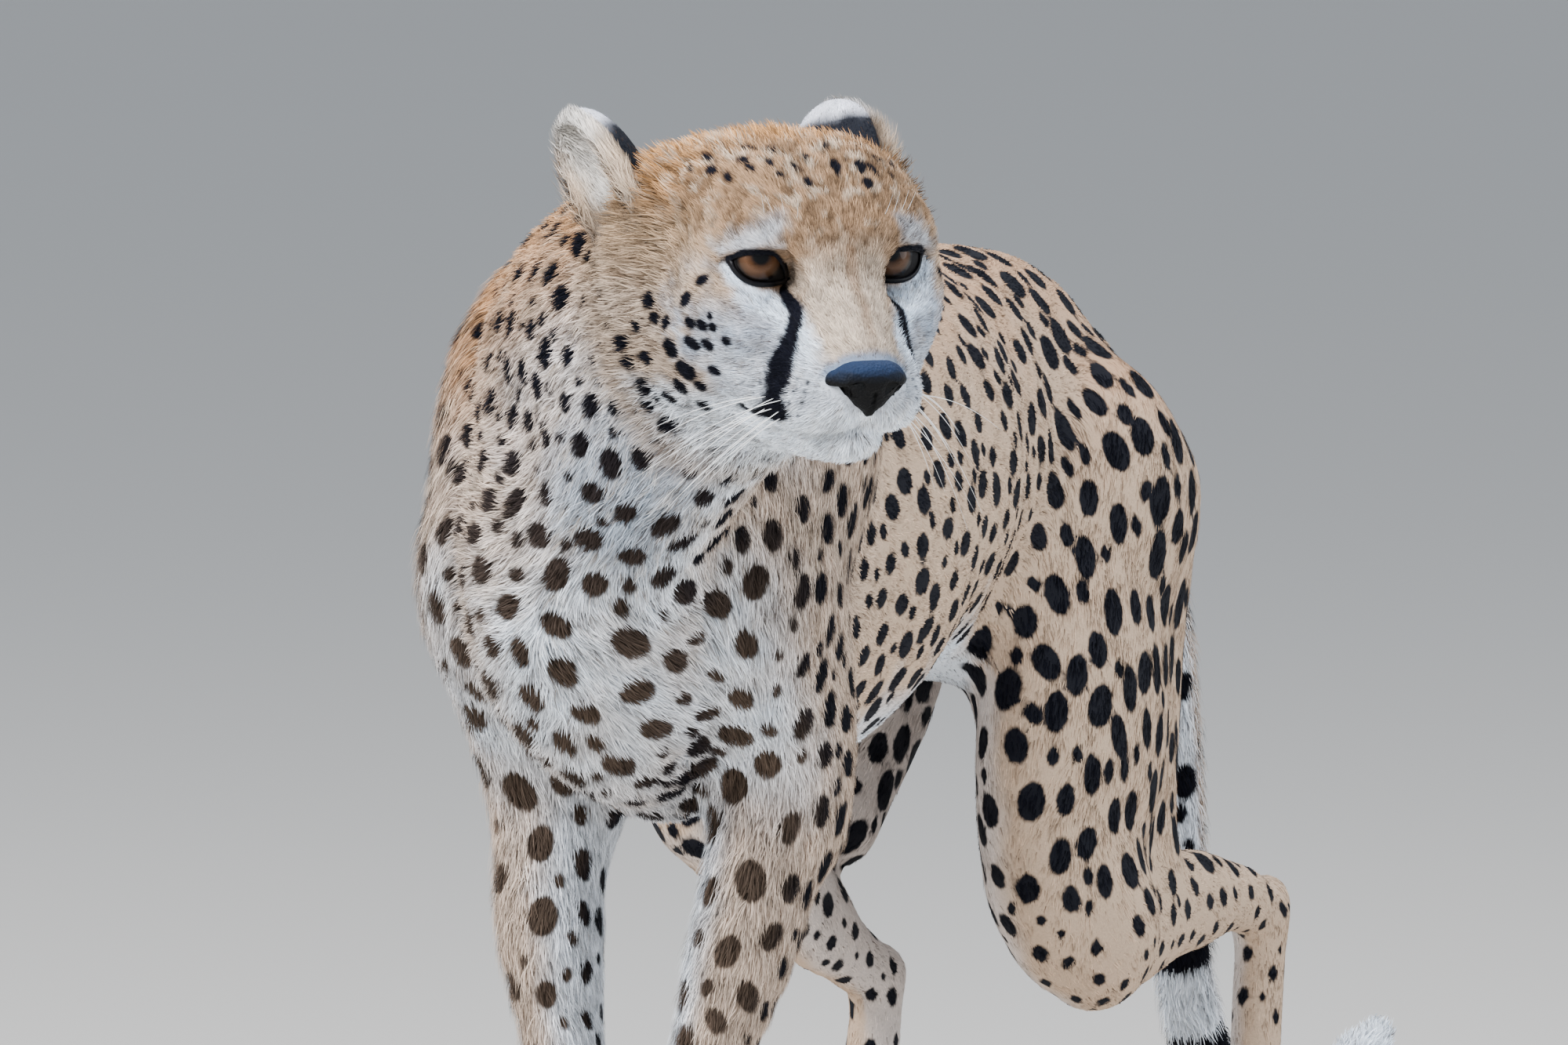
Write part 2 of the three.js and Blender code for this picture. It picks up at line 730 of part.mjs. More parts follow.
// The two lids as one ring that lies on the eyeball.
function lidRing(side) {
  const ring = new THREE.TorusGeometry(LID_HALF_WIDTH, LID_GIRTH, 5, 24);
  const place = ring.attributes.position;
  for (let n = 0; n < place.count; n += 1) {
    const angle = Math.atan2(place.getY(n), place.getX(n));
    const outwards = Math.hypot(place.getX(n), place.getY(n)) - LID_HALF_WIDTH;
    const [across, up] = lidOutline(angle, side);
    const depth = Math.sqrt(Math.max(EYE_RADIUS ** 2 - across ** 2 - up ** 2, 0));
    const lidX = across + Math.cos(angle) * outwards * side;
    const lidZ = up + Math.sin(angle) * outwards;
    place.setXYZ(n, lidX, -depth - place.getZ(n), lidZ);
  }
  if (side < 0) {
    ring.setIndex(Array.from(ring.index.array).reverse());
  }
  return solidOf(toEye(ring, side));
}

// What the opening between the lids takes out of the head: an almond prism ahead of the eyeball.
function lidOpening(side) {
  const outline = new THREE.Shape();
  const steps = 20;
  for (let step = 0; step < steps; step += 1) {
    const [across, up] = lidOutline((step / steps) * 2 * Math.PI, 1);
    if (step === 0) {
      outline.moveTo(across * side, up);
    } else {
      outline.lineTo(across * side, up);
    }
  }
  const prism = new THREE.ExtrudeGeometry(outline, { depth: 40, bevelEnabled: false });
  prism.rotateX(Math.PI / 2);
  return solidOf(toEye(prism, side));
}

// A round groove or hole along a curve through a few points.
function bore(points, radius, steps, sides) {
  const curve = new THREE.CatmullRomCurve3(points.map(([x, y, z]) => new THREE.Vector3(x, y, z)));
  const section = new THREE.Shape();
  section.absarc(0, 0, radius, 0, 2 * Math.PI);
  const options = { steps, curveSegments: sides, extrudePath: curve };
  return solidOf(new THREE.ExtrudeGeometry(section, options));
}

// The line of the mouth, from one corner round the front to the other.
function mouthLine() {
  const right = MOUTH_HALF.slice(1).reverse().map(([x, y, z]) => [-x, y, z]);
  return bore([...right, ...MOUTH_HALF], MOUTH_GROOVE, 20, 3);
}

function nostril(side) {
  return bore([[20 * side, -46, -50], [14.5 * side, -53.5, -49], [7.5 * side, -61, -47]], 2.6, 5, 3);
}

// An ear is a cup: an egg with a smaller egg taken out of it towards the opening.
function ear(base, tip, opening) {
  const egg = (across, deep, high, lift, out) => {
    const form = new THREE.SphereGeometry(1, 12, 9);
    form.scale(across, deep, high);
    return form.translate(0, out, lift);
  };
  const up = new THREE.Vector3(...tip).sub(new THREE.Vector3(...base));
  const height = up.length();
  up.normalize();
  const back = new THREE.Vector3(...opening).negate();
  back.addScaledVector(up, -back.dot(up)).normalize();
  const across = new THREE.Vector3().crossVectors(back, up);
  const place = new THREE.Matrix4().makeBasis(across, back, up).setPosition(...base);
  const half = height * 0.62;
  const outer = egg(EAR_HALF_WIDTH, EAR_HALF_DEPTH, half, height - half, 0);
  const hollow = half - EAR_WALL;
  const inner = egg(EAR_HALF_WIDTH - EAR_WALL, EAR_HALF_DEPTH, hollow, height - half, -2.6 * EAR_WALL);
  return without(solidOf(outer.applyMatrix4(place)), solidOf(inner.applyMatrix4(place)));
}

// A solid cut clear of another one: the other is taken away as it is and a little to every side.
function clearOf(solid, other) {
  const shifts = [[0, 0, 0]];
  for (const axis of [0, 1, 2]) {
    for (const way of [-CLEARANCE, CLEARANCE]) {
      shifts.push([0, 1, 2].map((n) => (n === axis ? way : 0)));
    }
  }
  return shifts.reduce((rest, shift) => rest.subtract(other.translate(shift)), solid);
}

const noseSolid = solidOf(meshOf(fieldOf(noseForms), [-26, -68, -68], [26, -30, -26], NOSE_CELL));

const faceSolid = solidOf(meshOf(headAndNeckField, [-92, -64, -104], [92, 54, 70], FACE_CELL));
const crownSolid = solidOf(meshOf(headAndNeckField, [-110, 0, -120], [110, 190, 90], CROWN_CELL));

let face = within(faceSolid, before(FACE_EDGE));
for (const side of [1, -1]) {
  face = face.add(lidRing(side));
}
for (const side of [1, -1]) {
  face = without(face, eyeball(side, EYE_RADIUS + GAP), lidOpening(side));
}
face = clearOf(without(face, mouthLine()), noseSolid);
const crown = within(crownSolid, beyond(FACE_EDGE), before(NAPE_IN_HEAD));
addNode('head_face', face, SKIN_TAN, 0.85, headGroup);
addNode('head_crown', crown, SKIN_TAN, 0.85, headGroup);
addNode('nose', without(noseSolid, nostril(1), nostril(-1)), NOSE_BLACK, 0.45, headGroup);

const ears = {
  left: ear([47, 101, 5], [51, 131, 54], [0.86, 0.5, -0.1]),
  right: ear([-60, 94, 3], [-84, 113, 56], [-0.99, -0.08, -0.12]),
};
const neckSeenFromHead = neck.transform(worldToHead.toArray());
for (const [name, shell] of Object.entries(ears)) {
  const cut = clearOf(clearOf(within(shell, beyond(EAR_FOOT)), crown), neckSeenFromHead);
  addNode(`ear_${name}`, cut, EAR_GREY, 0.9, headGroup);
}
for (const [name, side] of [['left', 1], ['right', -1]]) {
  addNode(`eye_${name}`, eyeball(side, EYE_RADIUS), EYE_AMBER, 0.1, headGroup);
}

// ---------------------------------------------------------------- legs

function trunkAnd(forms) {
  return fieldOf([...trunkForms, ...forms]);
}

for (const [name, side] of [['left', 1], ['right', -1]]) {
  const forms = forelegs[name];
  const upperField = trunkAnd([...shoulderForms(side), forms[0]]);
  const low = side > 0 ? 20 : -130;
  const upper = solidOf(meshOf(upperField, [low, -110, 310], [low + 110, 150, 520], UPPER_LEG_CELL));
  const upperCut = within(upper, before(armpitOf(side)), before(SHOULDER_BACK), beyond(ELBOW));
  addNode(`foreleg_${name}_upper`, upperCut, SKIN_TAN, 0.9);

  const lowerField = fieldOf([...shoulderForms(side).slice(1), ...forms]);
  const lowerLow = side > 0 ? 5 : -95;
  const lowerHigh = lowerLow + 90;
  const lower = solidOf(meshOf(lowerField, [lowerLow, -40, 100], [lowerHigh, 110, 380], LOWER_LEG_CELL));
  addNode(`foreleg_${name}_lower`, within(lower, before(ELBOW), beyond(WRIST)), SKIN_TAN, 0.9);

  const footField = fieldOf(forms);
  const foot = solidOf(meshOf(footField, [lowerLow - 4, -110, -20], [lowerHigh + 2, 60, 150], PAW_CELL));
  addNode(`foreleg_${name}_paw`, within(foot, before(WRIST), before(FLOOR)), PAW_TAN, 0.9);
}

const hindLegs = {
  left: {
    forms: leftHindForms,
    thigh: { low: [-5, 320, 210], high: [125, 640, 520], cuts: [LEFT_GROIN, LEFT_THIGH_FRONT] },
    shank: { low: [14, 372, 200], high: [114, 758, 350], knee: LEFT_KNEE_CUT, hock: LEFT_HOCK },
    heel: { low: [14, 636, 30], high: [96, 770, 290], hock: LEFT_HOCK, toes: LEFT_TOES },
    paw: { low: [4, 598, -20], high: [100, 738, 110], toes: LEFT_TOES },
  },
  right: {
    forms: rightHindForms,
    thigh: { low: [-150, 215, 270], high: [-20, 640, 520], cuts: [RIGHT_GROIN, RIGHT_THIGH_FRONT] },
    shank: { low: [-130, 230, 180], high: [-30, 560, 400], knee: RIGHT_KNEE_CUT, hock: RIGHT_HOCK },
    heel: { low: [-110, 420, 20], high: [-30, 550, 290], hock: RIGHT_HOCK, toes: RIGHT_TOES },
    paw: { low: [-118, 350, -20], high: [-22, 500, 100], toes: RIGHT_TOES },
  },
};
for (const [name, leg] of Object.entries(hindLegs)) {
  const thighField = trunkAnd(leg.forms.slice(0, 3));
  const thigh = solidOf(meshOf(thighField, leg.thigh.low, leg.thigh.high, UPPER_LEG_CELL));
  const thighCut = within(thigh, ...leg.thigh.cuts.map(before), beyond(leg.shank.knee));
  addNode(`hind_${name}_thigh`, thighCut, SKIN_TAN, 0.9);

  const shank = solidOf(meshOf(fieldOf(leg.forms.slice(0, 4)), leg.shank.low, leg.shank.high, SHANK_CELL));
  const shankCut = within(shank, before(leg.shank.knee), before(leg.shank.hock));
  addNode(`hind_${name}_shank`, shankCut, SKIN_TAN, 0.9);

  const heel = solidOf(meshOf(fieldOf(leg.forms.slice(2)), leg.heel.low, leg.heel.high, LOWER_LEG_CELL));
  addNode(`hind_${name}_heel`, within(heel, beyond(leg.heel.hock), before(leg.heel.toes)), SKIN_TAN, 0.9);

  const foot = solidOf(meshOf(fieldOf(leg.forms.slice(3)), leg.paw.low, leg.paw.high, PAW_CELL));
  addNode(`hind_${name}_paw`, within(foot, beyond(leg.paw.toes), before(FLOOR)), PAW_TAN, 0.9);
}

// ---------------------------------------------------------------- tail

const TAIL_CUTS = [
  TAIL_ROOT,
  { point: [0, 726, 355], normal: [0, 0.3, -0.95] },
  { point: [0, 900, 118], normal: [0, 0.995, -0.1] },
];
const tailField = trunkAnd(tailForms);
const tailSolid = solidOf(meshOf(tailField, [-60, 560, 70], [50, 1150, 600], TAIL_CELL));
addNode('tail_root', within(tailSolid, beyond(TAIL_CUTS[0]), before(TAIL_CUTS[1])), TAIL_TAN, 0.9);
addNode('tail_middle', within(tailSolid, beyond(TAIL_CUTS[1]), before(TAIL_CUTS[2])), TAIL_TAN, 0.9);
addNode('tail_tip', within(tailSolid, beyond(TAIL_CUTS[2])), BELLY_WHITE, 0.9);

// The origin goes under the middle of the animal, at the level of its soles.
const extent = new THREE.Box3().setFromObject(animal, true);
const middle = extent.getCenter(new THREE.Vector3());
animal.position.set(-middle.x, -middle.y, -extent.min.z);

export default animal;
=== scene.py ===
"""A walking cheetah at life size: skin, coat, eyes, nose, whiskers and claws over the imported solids."""

import math

import bmesh
import bpy
import numpy as np
from bpy.props import FloatProperty, IntProperty, PointerProperty
from mathutils import Matrix, Vector
from mathutils.bvhtree import BVHTree
from mathutils.kdtree import KDTree


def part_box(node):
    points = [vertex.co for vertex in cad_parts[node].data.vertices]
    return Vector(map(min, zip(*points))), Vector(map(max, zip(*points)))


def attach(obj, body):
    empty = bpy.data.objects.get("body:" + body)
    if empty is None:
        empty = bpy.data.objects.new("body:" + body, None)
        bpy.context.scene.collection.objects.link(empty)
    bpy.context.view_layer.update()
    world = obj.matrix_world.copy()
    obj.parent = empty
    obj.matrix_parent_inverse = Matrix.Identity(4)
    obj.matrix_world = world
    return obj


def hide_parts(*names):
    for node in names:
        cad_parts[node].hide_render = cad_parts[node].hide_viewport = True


bl_info = {
    "name": "Cheetah",
    "version": (1, 0, 0),
    "blender": (4, 5, 0),
    "location": "3D View > Sidebar > Cheetah",
    "description": "Dresses the packed cheetah with skin, coat, eyes, nose and whiskers",
    "category": "Object",
}

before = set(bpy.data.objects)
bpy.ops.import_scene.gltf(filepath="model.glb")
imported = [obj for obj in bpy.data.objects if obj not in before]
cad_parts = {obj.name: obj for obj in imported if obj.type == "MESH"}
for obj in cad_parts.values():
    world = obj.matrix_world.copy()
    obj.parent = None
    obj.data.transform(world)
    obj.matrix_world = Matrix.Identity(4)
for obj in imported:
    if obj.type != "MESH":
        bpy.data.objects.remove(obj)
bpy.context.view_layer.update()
MM = 0.001

# ---------------------------------------------------------------- the head's own frame, in design millimetres
# Design millimetres: the animal faces -Y, its left is +X, the floor is near z = 0.

EYE_POINT = np.array([182.0, -225.0, 640.0])
HEAD_TURN = math.radians(43)
HEAD_NOD = math.radians(5)
EYE_RADIUS = 16.5
EYE_OUT = 31.0
EYE_BACK = 14.5


def turn_matrix(nod, turn):
    """Nod about X, then turn about Z."""
    cx, sx, cz, sz = math.cos(nod), math.sin(nod), math.cos(turn), math.sin(turn)
    about_x = np.array([[1, 0, 0], [0, cx, -sx], [0, sx, cx]])
    about_z = np.array([[cz, -sz, 0], [sz, cz, 0], [0, 0, 1]])
    return about_z @ about_x


HEAD_AXES = turn_matrix(HEAD_NOD, HEAD_TURN)


def to_head(points):
    return (points - EYE_POINT) @ HEAD_AXES


def from_head(points):
    return np.asarray(points, float) @ HEAD_AXES.T + EYE_POINT


def node_middle(name):
    low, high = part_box(name)
    return (np.array(low) + np.array(high)) / 2


# Where the design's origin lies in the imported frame, in millimetres, found from the eyes.
SHIFT = (node_middle("eye_left") + node_middle("eye_right")) / 2 / MM - from_head([0, EYE_BACK, 0])


def to_design(points):
    return points / MM - SHIFT


def from_design(points):
    return (points + SHIFT) * MM

# ---------------------------------------------------------------- soft forms: the solids' own limbs


def spline(points, t):
    """A centripetal curve through the points, at a parameter from 0 to 1."""
    spans = len(points) - 1
    low = min(int(t * spans), spans - 1)
    share = t * spans - low
    p1, p2 = points[low], points[low + 1]
    p0 = points[low - 1] if low > 0 else 2 * p1 - p2
    p3 = points[low + 2] if low + 2 <= spans else 2 * p2 - p1
    d0, d1, d2 = (np.linalg.norm(b - a) ** 0.5 or 1.0 for a, b in ((p0, p1), (p1, p2), (p2, p3)))
    m1 = ((p1 - p0) / d0 - (p2 - p0) / (d0 + d1) + (p2 - p1) / d1) * d1
    m2 = ((p2 - p1) / d1 - (p3 - p1) / (d1 + d2) + (p3 - p2) / d2) * d1
    c2 = -3 * p1 + 3 * p2 - 2 * m1 - m2
    c3 = 2 * p1 - 2 * p2 + m1 + m2
    return p1 + m1 * share + c2 * share**2 + c3 * share**3


class Limb:
    """A rounded form swept along a smooth curve through stations (x, y, z, half width, half depth)."""

    def __init__(self, stations, blend, lie=1, steps=4):
        rows = np.array([s if len(s) == 5 else (*s, s[3]) for s in stations], float)
        spans = len(rows) - 1
        centres, sizes = [], []
        for step in range(spans * steps + 1):
            low = min(step // steps, spans - 1)
            part = step / steps - low
            eased = part * part * (3 - 2 * part)
            centres.append(spline(rows[:, :3], step / (spans * steps)))
            sizes.append(rows[low, 3:] * (1 - eased) + rows[low + 1, 3:] * eased)
        self.centres = np.array(centres)
        self.sizes = np.array(sizes)
        self.blend = blend
        self.lie = lie
        reach = self.sizes.max() + 45
        self.low = self.centres.min(0) - reach
        self.high = self.centres.max(0) + reach

    def distance(self, points, directions=None):
        """Rough signed distance to the surface, and optionally the run of the form beside each point."""
        nearest = np.full(len(points), 1e9)
        for a, b, sa, sb in zip(self.centres[:-1], self.centres[1:], self.sizes[:-1], self.sizes[1:]):
            along = b - a
            away = points - a
            t = np.clip(away @ along / (along @ along), 0, 1)
            away = away - t[:, None] * along
            half = sa + t[:, None] * (sb - sa)
            squares = away * away
            length = np.sqrt(squares.sum(1))
            ratio = np.sqrt(squares[:, 0] / half[:, 0] ** 2 + (squares[:, 1] + squares[:, 2]) / half[:, 1] ** 2)
            ratio = np.maximum(ratio, 1e-6)
            distance = length * (1 - 1 / ratio)
            closer = distance < nearest
            nearest[closer] = distance[closer]
            if directions is not None:
                directions[closer] = along / np.linalg.norm(along)
        return nearest


def mirrored(stations):
    return [(-s[0], *s[1:]) for s in stations]


def pair(stations, blend, lie=1):
    return [Limb(stations, blend, lie), Limb(mirrored(stations), blend, lie)]


def blend_min(a, b, width):
    share = np.maximum(width - np.abs(a - b), 0) / width
    return np.minimum(a, b) - share * share * width * 0.25


FAR = 400.0


def field(forms, points):
    """The blended distance of a list of limbs, worked out only where a limb is near."""
    total = np.full(len(points), FAR)
    for form in forms:
        near = np.all((points > form.low) & (points < form.high), axis=1)
        if near.any():
            total[near] = blend_min(total[near], form.distance(points[near]), form.blend)
    return total


def run_of(forms, points):
    """The direction in which the fur lies: the run of the nearest limbs, softly mixed."""
    total = np.zeros((len(points), 3))
    for form in forms:
        near = np.all((points > form.low) & (points < form.high), axis=1)
        if near.any():
            ways = np.zeros((int(near.sum()), 3))
            away = form.distance(points[near], ways)
            total[near] += ways * (form.lie * np.exp(-np.clip(away, -20, 200) / 8))[:, None]
    return total


TRUNK = [
    Limb([
        (0, -52, 470, 58, 70), (0, 5, 486, 84, 116), (0, 85, 492, 91, 138), (-2, 175, 496, 95, 134),
        (-5, 265, 504, 89, 113), (-8, 345, 506, 78, 100), (-12, 415, 511, 68, 93), (-15, 487, 513, 65, 85),
        (-15, 545, 501, 64, 70), (-15, 580, 497, 40, 46),
    ], 1),
    Limb([(0, -58, 470, 34, 40), (0, -40, 420, 34, 36), (0, 30, 385, 30, 30)], 24),
    Limb([(-8, 330, 428, 42, 24), (-10, 400, 413, 40, 28), (-14, 470, 412, 38, 30)], 30),
]
NECK = [
    Limb([
        (-2, 45, 556, 78, 80), (8, -15, 574, 78, 84), (44, -78, 598, 71, 80), (86, -128, 616, 65, 73),
        (122, -166, 622, 58, 60),
    ], 34, -1),
    Limb([(104, -150, 586, 44, 50), (50, -106, 540, 48, 54), (8, -60, 490, 46, 50)], 30),
]
SHOULDERS = [
    *pair([(54, 74, 606, 24, 44), (74, 32, 552, 32, 60), (71, -8, 486, 31, 56)], 26),
    *pair([(68, -10, 460, 30, 50), (66, 32, 404, 31, 46), (60, 48, 362, 29, 38)], 26),
]


def foot(x, y, lift=0):
    forms = [Limb([(x, y + 4, 30 + lift, 22, 20), (x, y - 26, 17, 24, 18)], 14)]
    for across, reach, girth in ((-1.5, -20, 9), (-0.55, -34, 10), (0.55, -34, 10), (1.5, -20, 9)):
        out = across * 13
        forms.append(Limb([
            (x + out * 0.7, y + reach + 22, 22 + lift * 0.5, girth, girth + 2),
            (x + out, y + reach - 2, 20, girth, girth + 3),
            (x + out * 1.02, y + reach - 20, 10, girth - 1, girth - 0.5),
        ], 6))
    return forms


def foreleg(elbow_x, elbow_y, wrist_x, wrist_y):
    foot_y = wrist_y - 14
    return [
        Limb([
            (elbow_x, elbow_y, 370, 28, 38),
            (elbow_x * 0.9 + wrist_x * 0.1, elbow_y * 0.55 + wrist_y * 0.45, 318, 28, 37),
            (wrist_x * 0.6 + elbow_x * 0.32, elbow_y * 0.15 + wrist_y * 0.85, 240, 21, 27),
            (wrist_x, wrist_y, 158, 16, 18),
            (wrist_x, wrist_y - 2, 126, 19, 20),
            (wrist_x, wrist_y - 6, 80, 17, 17),
            (wrist_x, foot_y, 40, 20, 20),
        ], 20),
        *foot(wrist_x, foot_y),
    ]


FORELEGS = foreleg(55, 32, 32, -12) + foreleg(-58, 48, -37, 4)
LEFT_HIND = [
    Limb([(46, 505, 468, 45, 72), (40, 482, 425, 43, 100), (52, 449, 364, 40, 95), (55, 423, 308, 37, 67),
          (67, 439, 267, 29, 41)], 30),
    Limb([(40, 562, 470, 35, 32), (43, 560, 390, 26, 32), (54, 532, 304, 24, 30)], 30),
    Limb([(67, 439, 267, 29, 39), (58, 494, 264, 27, 41), (57, 592, 263, 21, 30), (56, 674, 257, 17, 21),
          (54, 716, 246, 17, 19)], 22),
    Limb([(54, 730, 250, 14, 15), (54, 720, 222, 16, 20), (53, 712, 150, 15, 17), (52, 700, 86, 16, 17),
          (52, 686, 50, 20, 19)], 14),
    *foot(52, 680, 14),
]
RIGHT_HIND = [
    Limb([(-72, 505, 469, 43, 68), (-75, 446, 440, 42, 92), (-81, 375, 396, 41, 76), (-82, 325, 364, 34, 52),
          (-80, 298, 345, 29, 38)], 30),
    Limb([(-70, 562, 470, 35, 32), (-75, 535, 380, 29, 34), (-78, 470, 316, 24, 32)], 30),
    Limb([(-80, 298, 345, 29, 38), (-80, 352, 314, 27, 42), (-77, 420, 272, 21, 30), (-74, 472, 244, 17, 21),
          (-72, 500, 232, 17, 19)], 22),
    Limb([(-72, 514, 230, 14, 15), (-72, 502, 202, 16, 20), (-71, 478, 130, 15, 17), (-70, 456, 72, 16, 17),
          (-70, 446, 40, 20, 19)], 14),
    *foot(-70, 442),
]
TAIL = [
    Limb([(-15, 555, 512, 30, 34), (-12, 612, 500, 24, 26), (-6, 680, 462, 20, 21), (0, 715, 400, 18, 18),
          (2, 732, 335, 17, 17), (2, 742, 268, 17, 17), (2, 752, 208, 17.5, 17.5), (3, 786, 156, 18, 18),
          (4, 860, 124, 19, 19), (0, 955, 116, 20, 20), (-6, 1045, 128, 18, 18), (-10, 1096, 146, 9, 9)], 22),
]
BODY = TRUNK + NECK + SHOULDERS + FORELEGS + LEFT_HIND + RIGHT_HIND + TAIL

# the head, in its own frame
HEAD = [
    Limb([(0, 14, 6, 38, 30), (0, 44, 9, 50, 40), (0, 80, 6, 54, 46), (0, 112, -6, 50, 46), (0, 140, -18, 50, 46)], 1),
    Limb([(0, 8, -6, 24, 24), (0, -14, -20, 19, 20), (0, -34, -33, 16.5, 15), (0, -45, -42, 15, 11.5)], 16),
    *pair([(26, 24, 22, 20), (36.5, 58, 22, 23.5), (38, 102, 14.5, 24.5)], 24),
    *pair([(14, -2, 9, 11), (29, 3, 13, 11.5), (45, 18, 9, 12)], 16),
    *pair([(20, -8, -18, 12), (34, 0, -22, 14), (45, 20, -16, 14.5)], 18),
    *pair([(31, 17, -38, 19, 24), (41, 52, -34, 23, 37), (43, 92, -28, 26, 40)], 26),
    *pair([(14, -12, -28, 14), (17, -28, -45, 13)], 12),
    *pair([(11, -37, -58, 13, 13), (20, -25, -58, 14.5, 15), (27, -2, -54, 14, 17)], 12),
    Limb([(0, -34, -76, 11, 8.5), (0, -18, -77, 19, 11), (0, 10, -70, 32, 18), (0, 50, -62, 40, 26)], 8),
    Limb([(0, 40, -50, 44, 30), (0, 90, -46, 50, 44), (0, 135, -46, 48, 50)], 24),
]
NOSE = [
    Limb([(-14, -45.5, -45.5, 5.5, 5.2), (-7, -50.5, -42.8, 7.5, 7), (7, -50.5, -42.8, 7.5, 7),
          (14, -45.5, -45.5, 5.5, 5.2)], 1),
    Limb([(0, -51, -46, 14, 6.5), (0, -50.5, -51.5, 9.5, 5.8), (0, -49.5, -57, 2.8, 4.8)], 6),
]
HEAD_REACH = 230.0


def animal_field(points):
    """Signed distance, roughly, to the animal's outline in design millimetres."""
    total = field(BODY, points)
    near = np.linalg.norm(points - from_head([0, 60, -10]), axis=1) < HEAD_REACH
    if near.any():
        total[near] = blend_min(total[near], field(HEAD, to_head(points[near])), 18)
    return total


def slope_of(function, points, step=0.4):
    """Value and slope of a field, from four probes round each point."""
    probes = np.array([[1, 1, 1], [1, -1, -1], [-1, 1, -1], [-1, -1, 1]], float)
    values = [function(points + probe * step) for probe in probes]
    slope = sum(value[:, None] * probe for value, probe in zip(values, probes)) / (4 * step)
    return sum(values) / 4, slope


def in_chunks(function, points, size=6000):
    return np.concatenate([function(points[n:n + size]) for n in range(0, len(points), size)])


def settled(function, points, depth, rounds=3):
    """The points brought onto the surface that lies at the given depth inside a field's outline."""
    def work(rows):
        place, inwards = rows[:, :3].copy(), rows[:, 3]
        for _ in range(rounds):
            value, slope = slope_of(function, place)
            steepness = np.maximum((slope * slope).sum(1), 0.1)
            move = slope * ((value + inwards) / steepness)[:, None]
            place -= np.clip(move, -6, 6)
        return place
    return in_chunks(work, np.column_stack([points, depth]))


def smoothstep(low, high, value):
    t = np.clip((value - low) / (high - low), 0, 1)
    return t * t * (3 - 2 * t)


# ---------------------------------------------------------------- eyes and lids, in the head's frame

# Between the lids, as (outwards, up) from the middle of the eyeball.
UPPER_LID = np.array([(11.8, 2.6), (9.0, 4.2), (4.5, 5.3), (-1.5, 5.6), (-7.0, 5.2), (-11.4, 1.6), (-14.2, -6.8)])
LOWER_LID = np.array([(-14.2, -6.8), (-9.6, -7.6), (-4.2, -7.8), (1.2, -7.2), (6.0, -5.0), (9.6, -1.6), (11.8, 2.6)])
EYE_SPLAY = math.radians(20)
GAZE = {1: math.radians(-9), -1: math.radians(-14)}
GAZE_UP = math.radians(16)
PUPIL_RADIUS = 3.0
IRIS_RADIUS = 10.7


def to_eye(head_points, side):
    """Across (outwards), forwards and up, from the centre of an eyeball, turned outwards with it."""
    turn = EYE_SPLAY * side
    away = head_points - np.array([EYE_OUT * side, EYE_BACK, 0])
    across = (away[:, 0] * math.cos(turn) + away[:, 1] * math.sin(turn)) * side
    forwards = away[:, 0] * math.sin(turn) - away[:, 1] * math.cos(turn)
    return np.column_stack([across, forwards, away[:, 2]])


def from_eye(eye_points, side):
    turn = EYE_SPLAY * side
    across, forwards, up = eye_points[:, 0] * side, eye_points[:, 1], eye_points[:, 2]
    x = across * math.cos(turn) + forwards * math.sin(turn) + EYE_OUT * side
    y = across * math.sin(turn) - forwards * math.cos(turn) + EYE_BACK
    return np.column_stack([x, y, up])


ALMOND = np.array([
    *(spline(UPPER_LID, t) for t in np.linspace(0, 1, 48, endpoint=False)),
    *(spline(LOWER_LID, t) for t in np.linspace(0, 1, 48, endpoint=False)),
])


def almond_distance(across, up):
    """Signed distance in the plane to the outline between the lids, negative inside, and its nearest point."""
    away = np.stack([across[:, None] - ALMOND[None, :, 0], up[:, None] - ALMOND[None, :, 1]], 2)
    squares = (away**2).sum(2)
    nearest = squares.argmin(1)
    following = np.roll(ALMOND, -1, axis=0)
    crossed = (ALMOND[None, :, 1] > up[:, None]) != (following[None, :, 1] > up[:, None])
    rise = following[:, 1] - ALMOND[:, 1]
    rise = np.where(np.abs(rise) < 1e-9, 1e-9, rise)
    share = (up[:, None] - ALMOND[None, :, 1]) / rise[None, :]
    cut = ALMOND[None, :, 0] + share * (following[:, 0] - ALMOND[:, 0])[None, :]
    inside = (crossed & (across[:, None] < cut)).sum(1) % 2 == 1
    distance = np.sqrt(squares.min(1))
    return np.where(inside, -distance, distance), ALMOND[nearest]


def shape_lids(head_points):
    """Lids drawn over each eyeball, with the skin sunk behind it between them."""
    for side in (1, -1):
        local = to_eye(head_points, side)
        near = (np.hypot(local[:, 0], local[:, 2]) < 34) & (local[:, 1] > -4) & (local[:, 1] < 40)
        spot = local[near]
        gap, edge = almond_distance(spot[:, 0], spot[:, 2])
        snapped = np.abs(gap) < 0.8
        spot[snapped, 0] = edge[snapped, 0]
        spot[snapped, 2] = edge[snapped, 1]
        gap[snapped] = 0
        squares = EYE_RADIUS**2 - spot[:, 0] ** 2 - spot[:, 2] ** 2
        ball = np.sqrt(np.maximum(squares, 4))
        upper = smoothstep(0, 4, spot[:, 2])
        lid = ball + 1.3 + 1.1 * upper + 0.06 * np.maximum(gap, 0)
        near_rim = 1 - smoothstep(3, 11, gap)
        raised = np.maximum(spot[:, 1], lid)
        draped = spot[:, 1] + (raised - spot[:, 1]) * near_rim
        draped = np.minimum(draped, lid + 30 * smoothstep(1.5, 14, gap) + 0.75 * upper * gap)
        sunk = ball - 3.0
        spot[:, 1] = np.where(gap < -0.4, sunk, draped)
        head_points[near] = from_eye(spot, side)


# ---------------------------------------------------------------- mouth, in the head's frame

